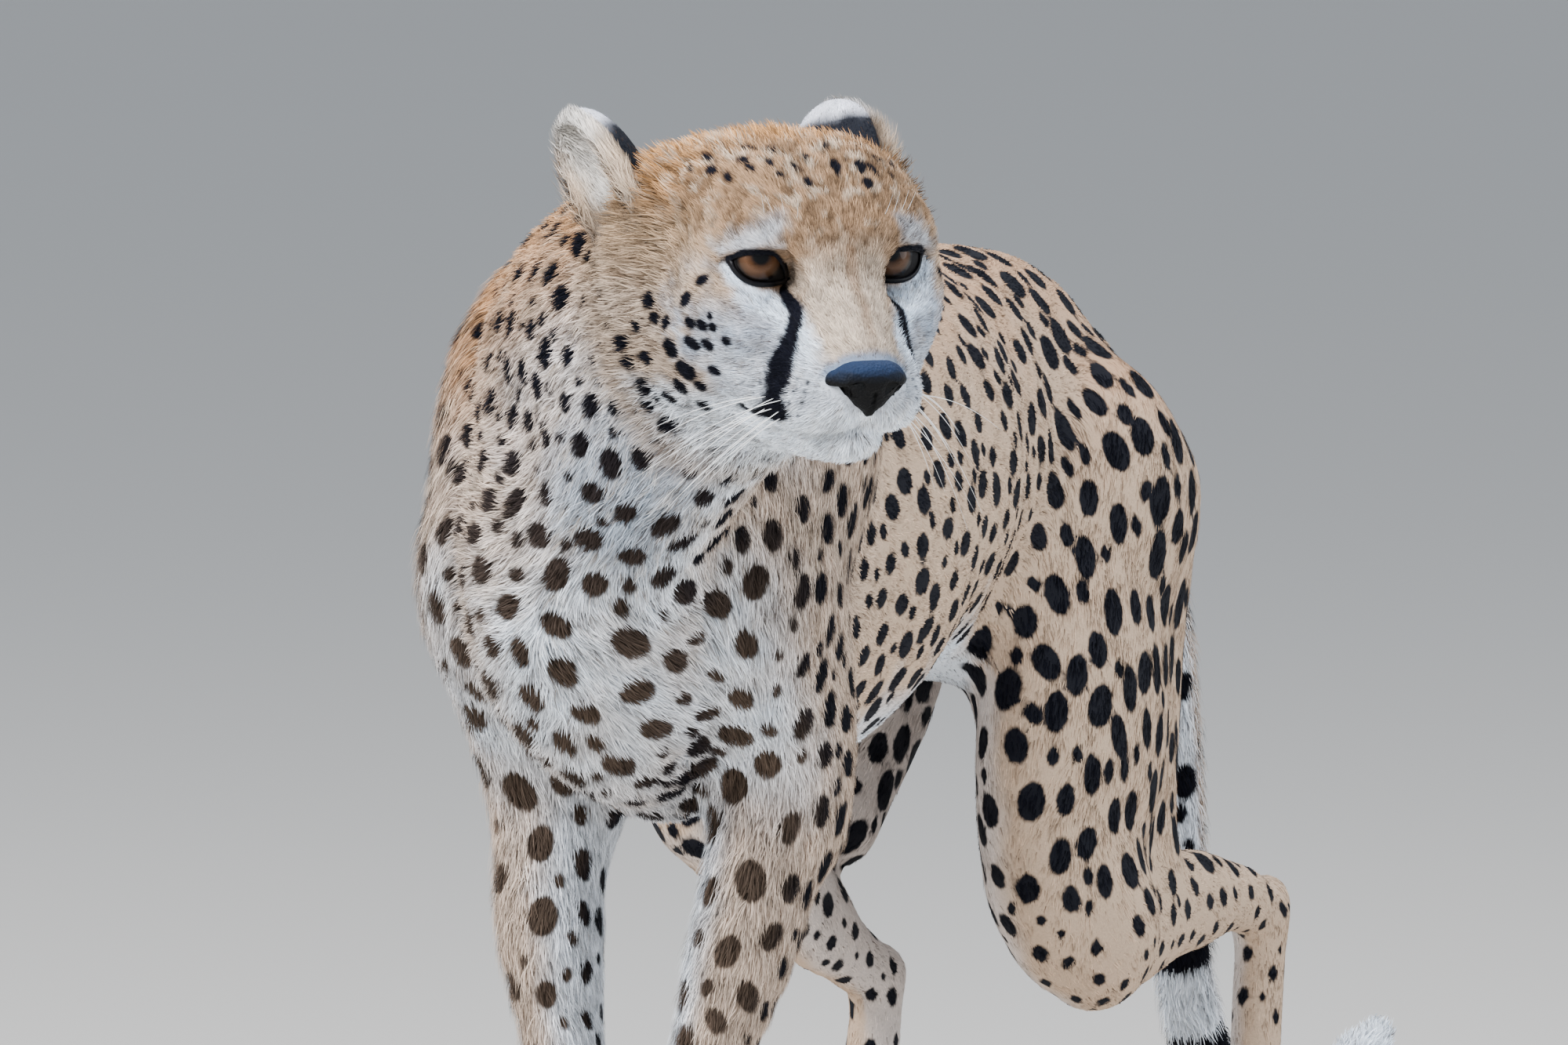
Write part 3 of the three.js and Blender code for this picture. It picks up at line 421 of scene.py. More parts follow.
MOUTH = np.array([[0, -48, -69], [9, -46, -71], [20, -34, -72], [30, -20, -70], [37, -8, -66]], float)
MOUTH_CURVE = np.array([spline(MOUTH, t) for t in np.linspace(0, 1, 40)])


def mouth_distance(head_points):
    folded = head_points * [1, 1, 1]
    folded[:, 0] = np.abs(folded[:, 0])
    return np.sqrt(((folded[:, None, :] - MOUTH_CURVE[None]) ** 2).sum(2)).min(1)


# ---------------------------------------------------------------- small tools for meshes


def new_object(name, mesh):
    obj = bpy.data.objects.new(name, mesh)
    bpy.context.scene.collection.objects.link(obj)
    return obj


def pick(*objs):
    """Only these objects are selected, and the first is active."""
    bpy.ops.object.select_all(action="DESELECT")
    for obj in objs:
        obj.select_set(True)
    bpy.context.view_layer.objects.active = objs[0]


def solid_copy(node):
    """A closed copy of a CAD node's mesh in the row's frame."""
    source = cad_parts[node]
    mesh = source.data.copy()
    mesh.transform(source.matrix_world)
    mesh.materials.clear()
    obj = new_object(f"{node}_copy", mesh)
    pick(obj)
    bpy.ops.object.mode_set(mode="EDIT")
    bpy.ops.mesh.select_all(action="SELECT")
    bpy.ops.mesh.remove_doubles(threshold=1e-6)
    bpy.ops.object.mode_set(mode="OBJECT")
    return obj


def joined(objs, name):
    pick(*objs)
    bpy.ops.object.join()
    obj = bpy.context.object
    obj.name = name
    obj.data.name = name
    return obj


def co_of(mesh):
    flat = np.empty(len(mesh.vertices) * 3)
    mesh.vertices.foreach_get("co", flat)
    return flat.reshape(-1, 3)


def set_co(mesh, points):
    mesh.vertices.foreach_set("co", np.ascontiguousarray(points, np.float32).ravel())
    mesh.update()


def normals_of(mesh):
    flat = np.empty(len(mesh.vertices) * 3, np.float32)
    mesh.vertex_normals.foreach_get("vector", flat)
    return flat.reshape(-1, 3).astype(float)


def store(mesh, name, values):
    """A number or a colour kept on each vertex."""
    values = np.asarray(values, np.float32)
    if values.ndim == 1:
        mesh.attributes.new(name, "FLOAT", "POINT").data.foreach_set("value", values)
        return
    rows = np.column_stack([values, np.ones(len(values), np.float32)])
    mesh.attributes.new(name, "FLOAT_COLOR", "POINT").data.foreach_set("color", rows.ravel())


def lattice(points, size, seed):
    """Soft noise from -1 to 1 that varies over about the given size."""
    cells = points / size
    base = np.floor(cells).astype(np.int64)
    part = cells - base
    part = part * part * (3 - 2 * part)
    total = np.zeros(len(points))
    for corner in range(8):
        bits = np.array([corner & 1, corner >> 1 & 1, corner >> 2 & 1])
        key = base + bits
        mixed = key[:, 0] * 73856093 ^ key[:, 1] * 19349663 ^ key[:, 2] * 83492791 ^ seed * 2654435761
        mixed = (mixed ^ mixed >> 13) * 1274126177 & 0xFFFFFFFF
        weight = np.prod(np.where(bits == 1, part, 1 - part), axis=1)
        total += weight * ((mixed ^ mixed >> 16) & 0xFFFF) / 32767.5
    return total - 1


def unit(vectors):
    return vectors / np.maximum(np.linalg.norm(vectors, axis=1), 1e-9)[:, None]


# ---------------------------------------------------------------- colours and markings


def linear(colour):
    """An sRGB colour such as c9ae94 as linear numbers."""
    parts = [int(colour[n:n + 2], 16) / 255 for n in (0, 2, 4)]
    return np.array([c / 12.92 if c <= 0.04045 else ((c + 0.055) / 1.055) ** 2.4 for c in parts])


TAN = linear("c3a88f")
SADDLE = linear("ba9678")
WHITE = linear("eaf2fb")
FOREHEAD = linear("94765a")
CROWN_GOLD = linear("bd8852")
TEMPLE = linear("bb9c7a")
BRIDGE = linear("bfad9a")
BRIDGE_STREAK = linear("7d6048")
CHEEK = linear("aebaca")
CHEEK_TAN = linear("b59c82")
UNDER_EYE = linear("e0edfb")
BROW_GREY = linear("c0c6ce")
MUZZLE = linear("c3c9d2")
NOSE_EDGE = linear("5d7592")
# Grey-blue painted shade for the front of the throat under the chin, where the head shades it; THROAT_MIDDLE is its
# middle.
THROAT_PAINTED_SHADE = linear("8c9aab")
THROAT_MIDDLE = (64, -150, 522)
NAPE_GOLD = linear("bd8854")
FLECK = linear("4a3828")
CREAM = linear("dccbb6")
INK_BLACK = linear("0f1018")
INK_BROWN = linear("51443a")
EAR_CREAM = linear("cdc8c1")
EAR_PALE = linear("d2d4de")
EAR_BLACK = linear("191b22")

# The black line from the inner corner of the eye to the corner of the mouth, as (|x|, z).
TEAR_LINE = np.array([
    (18.5, -6.0), (21.8, -11.5), (25.0, -18.0), (26.5, -25.0), (28.8, -33.0), (31.5, -40.5), (33.5, -48.0),
    (35.0, -55.5), (33.5, -63.5),
])
TEAR_HALF_WIDTHS = np.array([0.8, 2.1, 2.8, 2.8, 2.8, 3.0, 2.7, 2.1, 3.6])


# The pale streak over each eye, as (|x|, z).
BROW_LINE = np.array([(50.0, 7.0), (43.0, 11.0), (35.0, 15.5), (29.0, 21.5)])
BROW_HALF_WIDTHS = np.array([2.5, 4.5, 5.5, 2.5])
# The white band under each eye, from its outer corner round to the side of the nose, as (|x|, z).
UNDER_LINE = np.array([(48.0, -2.0), (43.0, -11.0), (35.0, -16.5), (27.0, -20.0), (25.0, -30.0), (27.0, -42.0)])
UNDER_HALF_WIDTHS = np.array([2.5, 4.0, 5.0, 6.0, 6.0, 4.5])


def mix(a, b, share):
    return a + (b - a) * np.asarray(share)[:, None]


def line_distance(points, line, halves):
    """How far inside a drawn line of changing half width each point of the plane lies, in millimetres."""
    best = np.full(len(points), -50.0)
    for a, b, wa, wb in zip(line[:-1], line[1:], halves[:-1], halves[1:]):
        along = b - a
        t = np.clip((points - a) @ along / (along @ along), 0, 1)
        away = np.linalg.norm(points - a - t[:, None] * along, axis=1)
        best = np.maximum(best, wa + t * (wb - wa) - away)
    return best


def blob(points, centre, radii):
    """1 at the centre of an ellipsoid, falling softly to 0 at its edge."""
    away = np.linalg.norm((points - np.array(centre)) / np.array(radii), axis=1)
    return 1 - smoothstep(0.35, 1.0, away)


def head_share(design):
    """1 on the head, 0 on the neck and body."""
    head = to_head(design)
    reach = np.linalg.norm((head - [0, 50, -20]) / [95, 120, 100], axis=1)
    return 1 - smoothstep(0.85, 1.1, reach)


def ground_colour(design, normals):
    """The coat's colour between the spots, with painted shade on the throat under the chin."""
    x, y, z = design.T
    side, forward, up = normals[:, 0], -normals[:, 1], normals[:, 2]
    patchy = lattice(design, 30, 5) * 0.15 + lattice(design, 9, 15) * 0.1
    colour = np.tile(TAN, (len(design), 1))
    colour = mix(colour, SADDLE, smoothstep(0.1, 0.9, up + patchy) * smoothstep(380, 480, z))
    colour = mix(colour, WHITE, 0.12 * (1 - smoothstep(-20, 130, y)))
    belly = smoothstep(0.45, 0.9, -up + patchy) * smoothstep(-40, 60, y) * smoothstep(280, 380, z)
    colour = mix(colour, WHITE, belly)
    throat = np.array([0.1, -0.74, -0.66])
    pale = smoothstep(0.2, 0.98, normals @ throat + patchy) * (1 - smoothstep(-10, 90, y))
    pale *= smoothstep(320, 420, z + patchy * 60)
    colour = mix(colour, WHITE, pale * (0.86 + 0.3 * lattice(design, 16, 25)))
    # Painted shade: the front of the throat under the chin is greyed, as if the head's shadow fell there.
    painted_throat_shade = blob(design, THROAT_MIDDLE, (85, 90, 72)) * smoothstep(0.1, 0.7, forward)
    colour = mix(colour, THROAT_PAINTED_SHADE, 0.7 * painted_throat_shade)
    inner = smoothstep(-0.1, 0.8, -side * np.sign(x + 8) + patchy) * (1 - smoothstep(380, 460, z))
    colour = mix(colour, WHITE, inner * (0.85 - 0.5 * smoothstep(250, 350, y)))
    nape = smoothstep(-0.5, 0.5, up - 0.2 * forward + patchy) * (1 - smoothstep(30, 110, y)) * smoothstep(520, 580, z)
    colour = mix(colour, NAPE_GOLD, nape * 0.8)
    return mix(colour, face_colour(to_head(design)), head_share(design))


def face_colour(head):
    """The head's ground colour: gold above, pale below and round the eyes, with soft ragged borders."""
    hx, hy, hz = np.abs(head[:, 0]), head[:, 1], head[:, 2]
    patchy = lattice(head, 12, 9) * 3 + lattice(head, 4, 19) * 2.5
    streaky = lattice(head * [1, 0.5, 0.6], 3, 29)
    fold = np.column_stack([hx, hy, hz])
    face = np.tile(FOREHEAD, (len(head), 1))
    face = mix(face, CROWN_GOLD, smoothstep(30, 80, hy + patchy) * smoothstep(10, 30, hz))
    face = mix(face, TEMPLE, 0.8 * smoothstep(40, 60, hx + patchy) * (1 - smoothstep(4, 26, hz + patchy)))
    lower = smoothstep(-26, 26, -hz - 2 + 1.6 * patchy - 0.1 * hy)
    tanned = smoothstep(-0.8, 0.8, lattice(head, 14, 39) + 0.7 * lattice(head, 4, 49) + 0.024 * (hy + 4) + 0.012 * (hz + 24))
    cheek = mix(np.tile(CHEEK, (len(head), 1)), CHEEK_TAN, tanned * 0.85)
    face = mix(face, cheek, smoothstep(24, 46, hx + 1.4 * patchy) * lower * (0.9 + 0.1 * streaky))
    face = mix(face, BRIDGE, (1 - smoothstep(14, 26, hx + patchy)) * (1 - smoothstep(-8, 24, hz + patchy)))
    face = mix(face, CHEEK, 0.7 * smoothstep(22, 29, hx) * (1 - smoothstep(-26, -10, hz)) * (1 - smoothstep(2, 24, hy)))
    under = line_distance(fold[:, [0, 2]], UNDER_LINE, UNDER_HALF_WIDTHS) + 1.6 * streaky + 0.3 * patchy
    face = mix(face, UNDER_EYE, smoothstep(-3.5, 2.5, under) * (1 - smoothstep(24, 32, hy)))
    brow = line_distance(fold[:, [0, 2]], BROW_LINE, BROW_HALF_WIDTHS) + 2.2 * streaky + 0.4 * patchy
    face = mix(face, BROW_GREY, smoothstep(-4.0, 3.5, brow) * (1 - smoothstep(18, 28, hy)) * 0.8)
    mottled = smoothstep(0.1, 0.9, lattice(head, 7, 59) + 0.7 * lattice(head, 3, 69)) * smoothstep(-4, 12, hz)
    face = mix(face, FLECK, 0.58 * mottled)
    flecks = smoothstep(0.3, 0.9, lattice(head, 4.5, 79) + 0.7 * lattice(head, 2.2, 89))
    face = mix(face, FLECK, 0.42 * flecks * smoothstep(34, 46, hx) * (1 - smoothstep(-10, 4, hz)))
    face = mix(face, MUZZLE, (1 - smoothstep(-46, -32, hz + patchy)) * (1 - smoothstep(0, 24, hy)))
    face = mix(face, WHITE, (1 - smoothstep(-66, -54, hz + patchy)) * (1 - smoothstep(60, 100, hy)))
    streak = 1 - smoothstep(0.8, 4.5, np.abs(head[:, 0] - 2.0 + patchy * 0.35))
    streak *= smoothstep(-36, -16, hz) * (1 - smoothstep(14, 34, hz)) * (hy < 34)
    face = mix(face, BRIDGE_STREAK, streak * 0.6)
    face = mix(face, FLECK, 0.85 * blob(fold, (68, 101, 8), (13, 13, 12)))
    face = mix(face, FLECK, 0.75 * fringe_share(head) * (head[:, 0] > 0))
    edge = (1 - smoothstep(1.0, 5.5, field(NOSE, head) + 0.8 * streaky)) * smoothstep(-47, -42, hz)
    return mix(face, NOSE_EDGE, edge * 0.8)


def ear_colour(local, facing):
    """An ear's colour: cream inside with painted shade low in the cup, and black behind with a pale tip and rim."""
    up = local[:, 2] + lattice(local[:, :3], 6, 41) * 2.5
    height = local[:, 3]
    share = up / height
    behind = mix(np.tile(EAR_BLACK, (len(local), 1)), EAR_PALE, smoothstep(0.7, 0.84, share))
    behind = mix(behind, EAR_PALE, smoothstep(1, 5, -local[:, 1]) * 0.85)
    behind = mix(behind, CROWN_GOLD, 1 - smoothstep(0.02, 0.2, share))
    rim = smoothstep(0.55, 0.95, np.abs(local[:, 0]) / EAR_HALF_WIDTH + 0.12 * lattice(local[:, :3], 5, 42))
    inside = mix(np.tile(EAR_CREAM, (len(local), 1)), TEMPLE, 0.75 * rim)
    # Painted shade: the lower part of the inside is darkened, as the cup shades itself there.
    inside = mix(inside, FLECK, 0.85 * (1 - smoothstep(0.1, 0.34, share)))
    return mix(behind, inside, smoothstep(-0.15, 0.15, facing))


def fringe_share(head):
    """1 in the wispy dark fringe between each ear and the cheek."""
    return blob(np.column_stack([np.abs(head[:, 0]), head[:, 1:]]), (60, 78, 12), (26, 34, 46))


def fleck_share(design):
    """How many of the tufts are darker than their neighbours."""
    head = to_head(design)
    front = 1 - smoothstep(20, 110, design[:, 1])
    share = 0.10 + front * (0.2 * smoothstep(380, 480, design[:, 2]) + 0.3 * smoothstep(560, 610, design[:, 2]))
    face = 0.28 + 0.3 * smoothstep(-4, 24, head[:, 2]) + 0.2 * smoothstep(6, 50, head[:, 1])
    face *= 1 - smoothstep(40, 64, -head[:, 2]) * 0.5 * (1 - smoothstep(10, 40, head[:, 1]))
    face += 0.45 * fringe_share(head)
    return share + (face - share) * head_share(design)


def cream_share(design):
    """How far the paler clumps of hair differ: most on the upper half of the head and the neck."""
    head = to_head(design)
    upper = 0.12 + 0.3 * smoothstep(10, 40, head[:, 2])
    neck = 0.3 * (1 - smoothstep(20, 110, design[:, 1])) * smoothstep(400, 500, design[:, 2])
    return neck + (upper - neck) * head_share(design)


def frosted_tips(design):
    """How much paler the ends of the hairs are: most on the crown and the nape."""
    head = to_head(design)
    crown = smoothstep(20, 50, head[:, 2]) * smoothstep(0, 40, head[:, 1]) * head_share(design)
    nape = (1 - smoothstep(20, 90, design[:, 1])) * smoothstep(480, 560, design[:, 2]) * (1 - head_share(design))
    return 1.5 * crown + 0.6 * nape


def ink_colour(design, normals):
    """The colour of the spots: near black, softer and browner low on the chest and inside the legs."""
    y, z = design[:, 1], design[:, 2]
    front = 1 - smoothstep(-10, 80, y)
    low = (1 - smoothstep(400, 590, z)) * smoothstep(0.1, 0.7, -normals[:, 1]) * (1 - head_share(design))
    return mix(np.tile(INK_BLACK, (len(design), 1)), INK_BROWN, 0.9 * front * low)


def spot_sizes(design, normals):
    """Spacing, radius and stretch of the spots beside each point, in millimetres."""
    y, z = design[:, 1], design[:, 2]
    spacing = np.full(len(design), 16.6)
    radius = np.full(len(design), 6.4)
    stretch = np.full(len(design), 1.36)
    thigh = smoothstep(330, 420, y) * smoothstep(230, 300, z)
    radius += 2.3 * thigh
    spacing += 2.9 * thigh
    front = 1 - smoothstep(0, 110, y)
    radius -= 0.3 * front
    spacing -= 0.5 * front
    nape = front * smoothstep(0.1, 0.6, normals[:, 2]) * smoothstep(540, 600, z)
    stretch += 1.0 * nape
    radius -= 0.9 * nape
    chest = front * smoothstep(0.2, 0.7, -normals[:, 1]) * (1 - smoothstep(430, 560, z))
    radius += 1.0 * chest
    spacing += 2.8 * chest
    legs = 1 - smoothstep(240, 350, z)
    radius -= (2.6 - 0.9 * front) * legs
    spacing -= (3.4 + 0.6 * front) * legs
    share = head_share(design)
    radius += (2.2 - radius) * share
    spacing += (8.5 - spacing) * share
    return spacing, radius, stretch


# Named spots of the head: (|x|, y, z, radius, stretch), first those that both sides have.
CHEEK_SPOTS = (
    (67, 55, -24, 2.3, 1.2), (64, 37, -43, 2.5, 1.3), (64, 61, -51, 2.1, 1.2), (64, 77, -55, 2.3, 1.2),
    (67, 80, -47, 2.5, 1.3), (63, 16, -28, 1.6, 1.2), (60, 9, -29, 1.6, 1.2), (57, 3, -28, 1.3, 1.2),
    (61, 19, -39, 1.9, 1.5), (57, 9, -38, 1.7, 1.3), (52, -3, -34, 1.3, 1.2), (60, 29, -52, 2.7, 1.4),
    (52, 12, -50, 1.6, 1.3), (59, 71, -64, 2.7, 1.3), (57, 38, -61, 2.3, 1.2), (53, 78, -75, 2.4, 1.2),
    (46, 76, -83, 2.6, 1.2), (63, 155, -17, 2.8, 1.3), (48, 8, -22, 1.2, 1.0), (55, 22, -60, 1.6, 1.2),
    (66, 66, -36, 2.0, 1.2), (62, 50, -30, 1.8, 1.2), (50, 30, -72, 2.0, 1.3), (58, 54, -72, 2.2, 1.3),
)
OUTER_STREAKS = ((59, 11, -7, 2.0, 1.7), (65, 19, -17, 2.5, 1.8), (66, 40, -32, 2.5, 1.5))
FOREHEAD_SPOTS = (
    (-46, 35, 40, 2.4, 1.5), (-44, 45, 45, 2.2, 1.6), (-33, 29, 45, 2.3, 1.5), (-26, 40, 49, 2.5, 1.6),
    (-32, 20, 43, 1.9, 1.4), (-16, 35, 48, 2.4, 1.5), (-9, 7, 37, 2.0, 1.3), (8, 18, 44, 2.4, 1.4),
    (19, 15, 43, 2.6, 1.5), (19, 5, 36, 2.4, 1.3), (33, 27, 45, 2.2, 1.5), (44, 36, 41, 2.4, 1.5),
    (28, 42, 49, 2.4, 1.5), (47, 48, 42, 2.2, 1.5), (-22, 12, 40, 1.7, 1.3), (-3, 26, 46, 1.9, 1.4),
)
PAD_ROWS = 4
PAD_SPOTS = 6
SPOT_REACH = 22.0


class SpotMap:
    """All the spots, each an oval lying in the skin; measures how far inside the nearest edge a point is."""

    def __init__(self):
        self.rows = []

    def add(self, centre, along, normal, radius, stretch):
        along = along - normal * (along @ normal)
        along /= np.linalg.norm(along)
        self.rows.append((centre, along, np.cross(normal, along), normal, radius, stretch))

    def inside(self, points):
        """Millimetres inside the nearest spot's edge, below zero outside."""
        low = points.min(0) - SPOT_REACH * 2
        cells = np.floor((points - low) / SPOT_REACH).astype(np.int64)
        key = (cells[:, 0] * 4096 + cells[:, 1]) * 4096 + cells[:, 2]
        order = np.argsort(key, kind="stable")
        keys = key[order]
        centres = np.array([row[0] for row in self.rows])
        homes = np.floor((centres - low) / SPOT_REACH).astype(np.int64)
        best = np.full(len(points), -20.0)
        for dx in (-1, 0, 1):
            for dy in (-1, 0, 1):
                column = ((homes[:, 0] + dx) * 4096 + homes[:, 1] + dy) * 4096 + homes[:, 2]
                firsts = np.searchsorted(keys, column - 1, side="left")
                lasts = np.searchsorted(keys, column + 1, side="right")
                for first, last, (centre, along, across, normal, radius, stretch) in zip(firsts, lasts, self.rows):
                    if first == last:
                        continue
                    rows = order[first:last]
                    away = points[rows] - centre
                    squares = (away @ along / stretch) ** 2 + (away @ across) ** 2 + (away @ normal * 0.5) ** 2
                    best[rows] = np.maximum(best[rows], radius - np.sqrt(squares))
        return best


def named_spots(spots, design, normals, ways, rng):
    """The spots of the head that have a place of their own, and the rows of small ones on the lips."""
    head = to_head(design)
    wanted = []
    streak = np.array([0.45, 0.6, -0.66])
    for x, y, z, radius, stretch in CHEEK_SPOTS:
        wanted.append(((-x, y, z), None, radius * 1.95, stretch))
        wanted.append((np.array([x, y, z]) + rng.normal(0, 2.0, 3), None, radius * rng.uniform(1.5, 1.9), stretch))
    for x, y, z, radius, stretch in OUTER_STREAKS:
        for side in (-1, 1):
            wanted.append(((x * side, y, z), streak * [side, 1, 1], radius * 1.25, stretch))
    for x, y, z, radius, stretch in FOREHEAD_SPOTS:
        wanted.append(((x, y, z), None, radius * 1.25, stretch))
    wanted.append(((53, 12, -10), None, 1.4, 1.0))
    for side in (-1, 1):
        for row in range(PAD_ROWS):
            for n in range(PAD_SPOTS):
                place = (side * (24 + n * 1.2), -38 + 5.2 * n + 1.6 * row, -47 - 4.4 * row)
                wanted.append((place, None, 1.15, 1.0))
    near = np.flatnonzero(head_share(design) > 0.2)
    for place, way, radius, stretch in wanted:
        n = near[((head[near] - place) ** 2).sum(1).argmin()]
        along = ways[n] if way is None else HEAD_AXES @ way
        spots.add(design[n], along, normals[n], radius, stretch)


def scatter_spots(design, normals, ways, allowed, seed):
    """Spots spread evenly over the coat, large ones first and smaller ones between."""
    rng = np.random.default_rng(seed)
    spacing, radius, stretch = spot_sizes(design, normals)
    head = to_head(design)
    share = head_share(design)
    crown = (head[:, 2] > 36) & (head[:, 1] > 14) & (head[:, 1] < 100)
    ruff = (head[:, 1] > 66) & (head[:, 2] < -10)
    allowed = allowed & ((share < 0.4) | crown | ruff)
    allowed &= ~((normals[:, 2] < -0.75) & (design[:, 1] > 40) & (design[:, 2] > 300))
    allowed &= design[:, 2] > 26
    allowed &= (field(TAIL, design) >= 8) | (tail_rings(design)[1] < 335)
    spots = SpotMap()
    centres = np.full((9000, 3), 1e6)
    count = 0
    for closeness, size in ((1.0, 1.0), (0.7, 0.58)):
        for n in rng.permutation(np.flatnonzero(allowed))[:30000]:
            gaps = centres[:count + 1] - design[n]
            squares = (gaps**2).sum(1) - (gaps @ ways[n]) ** 2 * (1 - 1 / stretch[n] ** 2)
            if squares.min() < (spacing[n] * closeness) ** 2:
                continue
            centres[count] = design[n]
            count += 1
            if size < 1 and rng.random() < 0.3:
                continue
            turn = rng.normal(0, 0.35)
            along = ways[n] * math.cos(turn) + np.cross(normals[n], ways[n]) * math.sin(turn)
            spots.add(design[n], along, normals[n], radius[n] * size * rng.uniform(0.84, 1.12),
                      stretch[n] * rng.uniform(0.88, 1.12))
    named_spots(spots, design, normals, ways, rng)
    return spots


def face_lines(design):
    """Millimetres inside the tear lines and the black edges of the lids."""
    head = to_head(design)
    folded = np.column_stack([np.abs(head[:, 0]), head[:, 2]])
    lines = line_distance(folded, TEAR_LINE, TEAR_HALF_WIDTHS)
    for side in (1, -1):
        local = to_eye(head, side)
        near = (np.hypot(local[:, 0], local[:, 2]) < 26) & (local[:, 1] > 0)
        gap = almond_distance(local[near, 0], local[near, 2])[0]
        corner = blob(local[near][:, [0, 2]], (14.5, 2.6), (7.0, 4.0)) * 1.2
        width = 1.6 + 1.7 * smoothstep(0, 4, local[near, 2]) * (1 - smoothstep(6, 13, np.abs(local[near, 0])))
        lines[near] = np.maximum(lines[near], width + corner - gap)
    return np.where((head[:, 1] < 26) & (head_share(design) > 0.5), lines, -20.0)


def tail_rings(design):
    """Dark spots joining into rings towards the tip, as a distance inside the nearest ring."""
    curve = TAIL[0].centres
    steps = np.linalg.norm(np.diff(curve, axis=0), axis=1)
    run = np.concatenate([[0], np.cumsum(steps)])
    nearest = ((design[:, None, :] - curve[None]) ** 2).sum(2).argmin(1)
    following = np.minimum(nearest + 1, len(curve) - 1)
    before = np.maximum(nearest - 1, 0)
    along = unit(curve[following] - curve[before])
    length = run[nearest] + ((design - curve[nearest]) * along).sum(1)
    phase = np.where(length > 330, (length - 330) / 58.0, 0)
    ring = 11.0 - np.abs(phase - np.round(phase)) * 58.0
    ring = np.where((length > 345) & (length < 725), ring, -20.0)
    return ring, length


# ---------------------------------------------------------------- materials


def add_node(tree, kind, links=None, **settings):
    """A shader node with its settings; links maps an input's name to a socket or a fixed value."""
    node = tree.nodes.new(kind)
    for key, value in settings.items():
        setattr(node, key, value)
    for key, source in (links or {}).items():
        if isinstance(source, bpy.types.NodeSocket):
            tree.links.new(source, node.inputs[key])
        else:
            node.inputs[key].default_value = source
    return node


def new_material(name):
    material = bpy.data.materials.new(name)
    material.use_nodes = True
    tree = material.node_tree
    tree.nodes.clear()
    shader = add_node(tree, "ShaderNodeBsdfPrincipled")
    output = add_node(tree, "ShaderNodeOutputMaterial")
    tree.links.new(shader.outputs["BSDF"], output.inputs["Surface"])
    return material, tree, shader


def attribute(tree, name, output="Fac"):
    return add_node(tree, "ShaderNodeAttribute", attribute_name=name).outputs[output]


def marked_colour(tree, edge_size, softness):
    """Ground colour with the spots over it, their edges broken up by the hair."""
    place = add_node(tree, "ShaderNodeTexCoord").outputs["Object"]
    grain = add_node(tree, "ShaderNodeTexNoise", {"Vector": place, "Scale": edge_size, "Detail": 2.0})
    ragged = add_node(tree, "ShaderNodeMath", {0: grain.outputs["Fac"], 1: 1.2, 2: -0.6}, operation="MULTIPLY_ADD")
    inside = add_node(tree, "ShaderNodeMath", {0: attribute(tree, "spot"), 1: ragged.outputs[0]}, operation="ADD")
    mask = add_node(tree, "ShaderNodeMapRange", {
        "Value": inside.outputs[0], "From Min": -softness, "From Max": softness,
    }, interpolation_type="SMOOTHSTEP")
    return add_node(tree, "ShaderNodeMix", {
        0: mask.outputs["Result"], 6: attribute(tree, "ground", "Color"), 7: attribute(tree, "ink", "Color"),
    }, data_type="RGBA").outputs[2], place


def skin_material():
    """The felted under-fur: the coat's markings with fine streaks and a soft nap."""
    material, tree, shader = new_material("felted_under_fur")
    colour, place = marked_colour(tree, 300.0, 1.0)
    streaks = add_node(tree, "ShaderNodeTexNoise", {"Vector": place, "Scale": 900.0, "Detail": 4.0})
    shade = add_node(tree, "ShaderNodeMapRange", {"Value": streaks.outputs["Fac"], "To Min": 0.72, "To Max": 1.12})
    tinted = add_node(tree, "ShaderNodeVectorMath", {0: colour, "Scale": shade.outputs["Result"]}, operation="SCALE")
    bump = add_node(tree, "ShaderNodeBump", {
        "Height": streaks.outputs["Fac"], "Strength": 0.5, "Distance": 0.0006,
    })
    tree.links.new(tinted.outputs[0], shader.inputs["Base Color"])
    tree.links.new(bump.outputs[0], shader.inputs["Normal"])
    shader.inputs["Roughness"].default_value = 0.85
    shader.inputs["Specular IOR Level"].default_value = 0.15
    return material


def fur_material():
    """Guard hairs: the coat's markings, darkened towards the roots as painted shade between the hairs and lighter
    towards the tips, and a little different from tuft to tuft.
    """
    material, tree, shader = new_material("guard_hair")
    colour, _ = marked_colour(tree, 300.0, 0.8)
    vary = add_node(tree, "ShaderNodeMapRange", {"Value": attribute(tree, "vary"), "To Min": 0.52, "To Max": 1.38})
    # Painted shade: each tuft is darkened towards its root, where the coat shades it, and paler at its end, more where
    # its tip is frosted.
    tip = add_node(tree, "ShaderNodeMapRange", {"Value": attribute(tree, "tip"), "To Min": 0.62, "To Max": 1.24},
                   clamp=False)
    shade = add_node(tree, "ShaderNodeMath", {0: vary.outputs[0], 1: tip.outputs[0]}, operation="MULTIPLY")
    tinted = add_node(tree, "ShaderNodeVectorMath", {0: colour, "Scale": shade.outputs[0]}, operation="SCALE")
    tree.links.new(tinted.outputs[0], shader.inputs["Base Color"])
    shader.inputs["Roughness"].default_value = 0.75
    shader.inputs["Specular IOR Level"].default_value = 0.04
    return material


EYE_ARC = 16.0


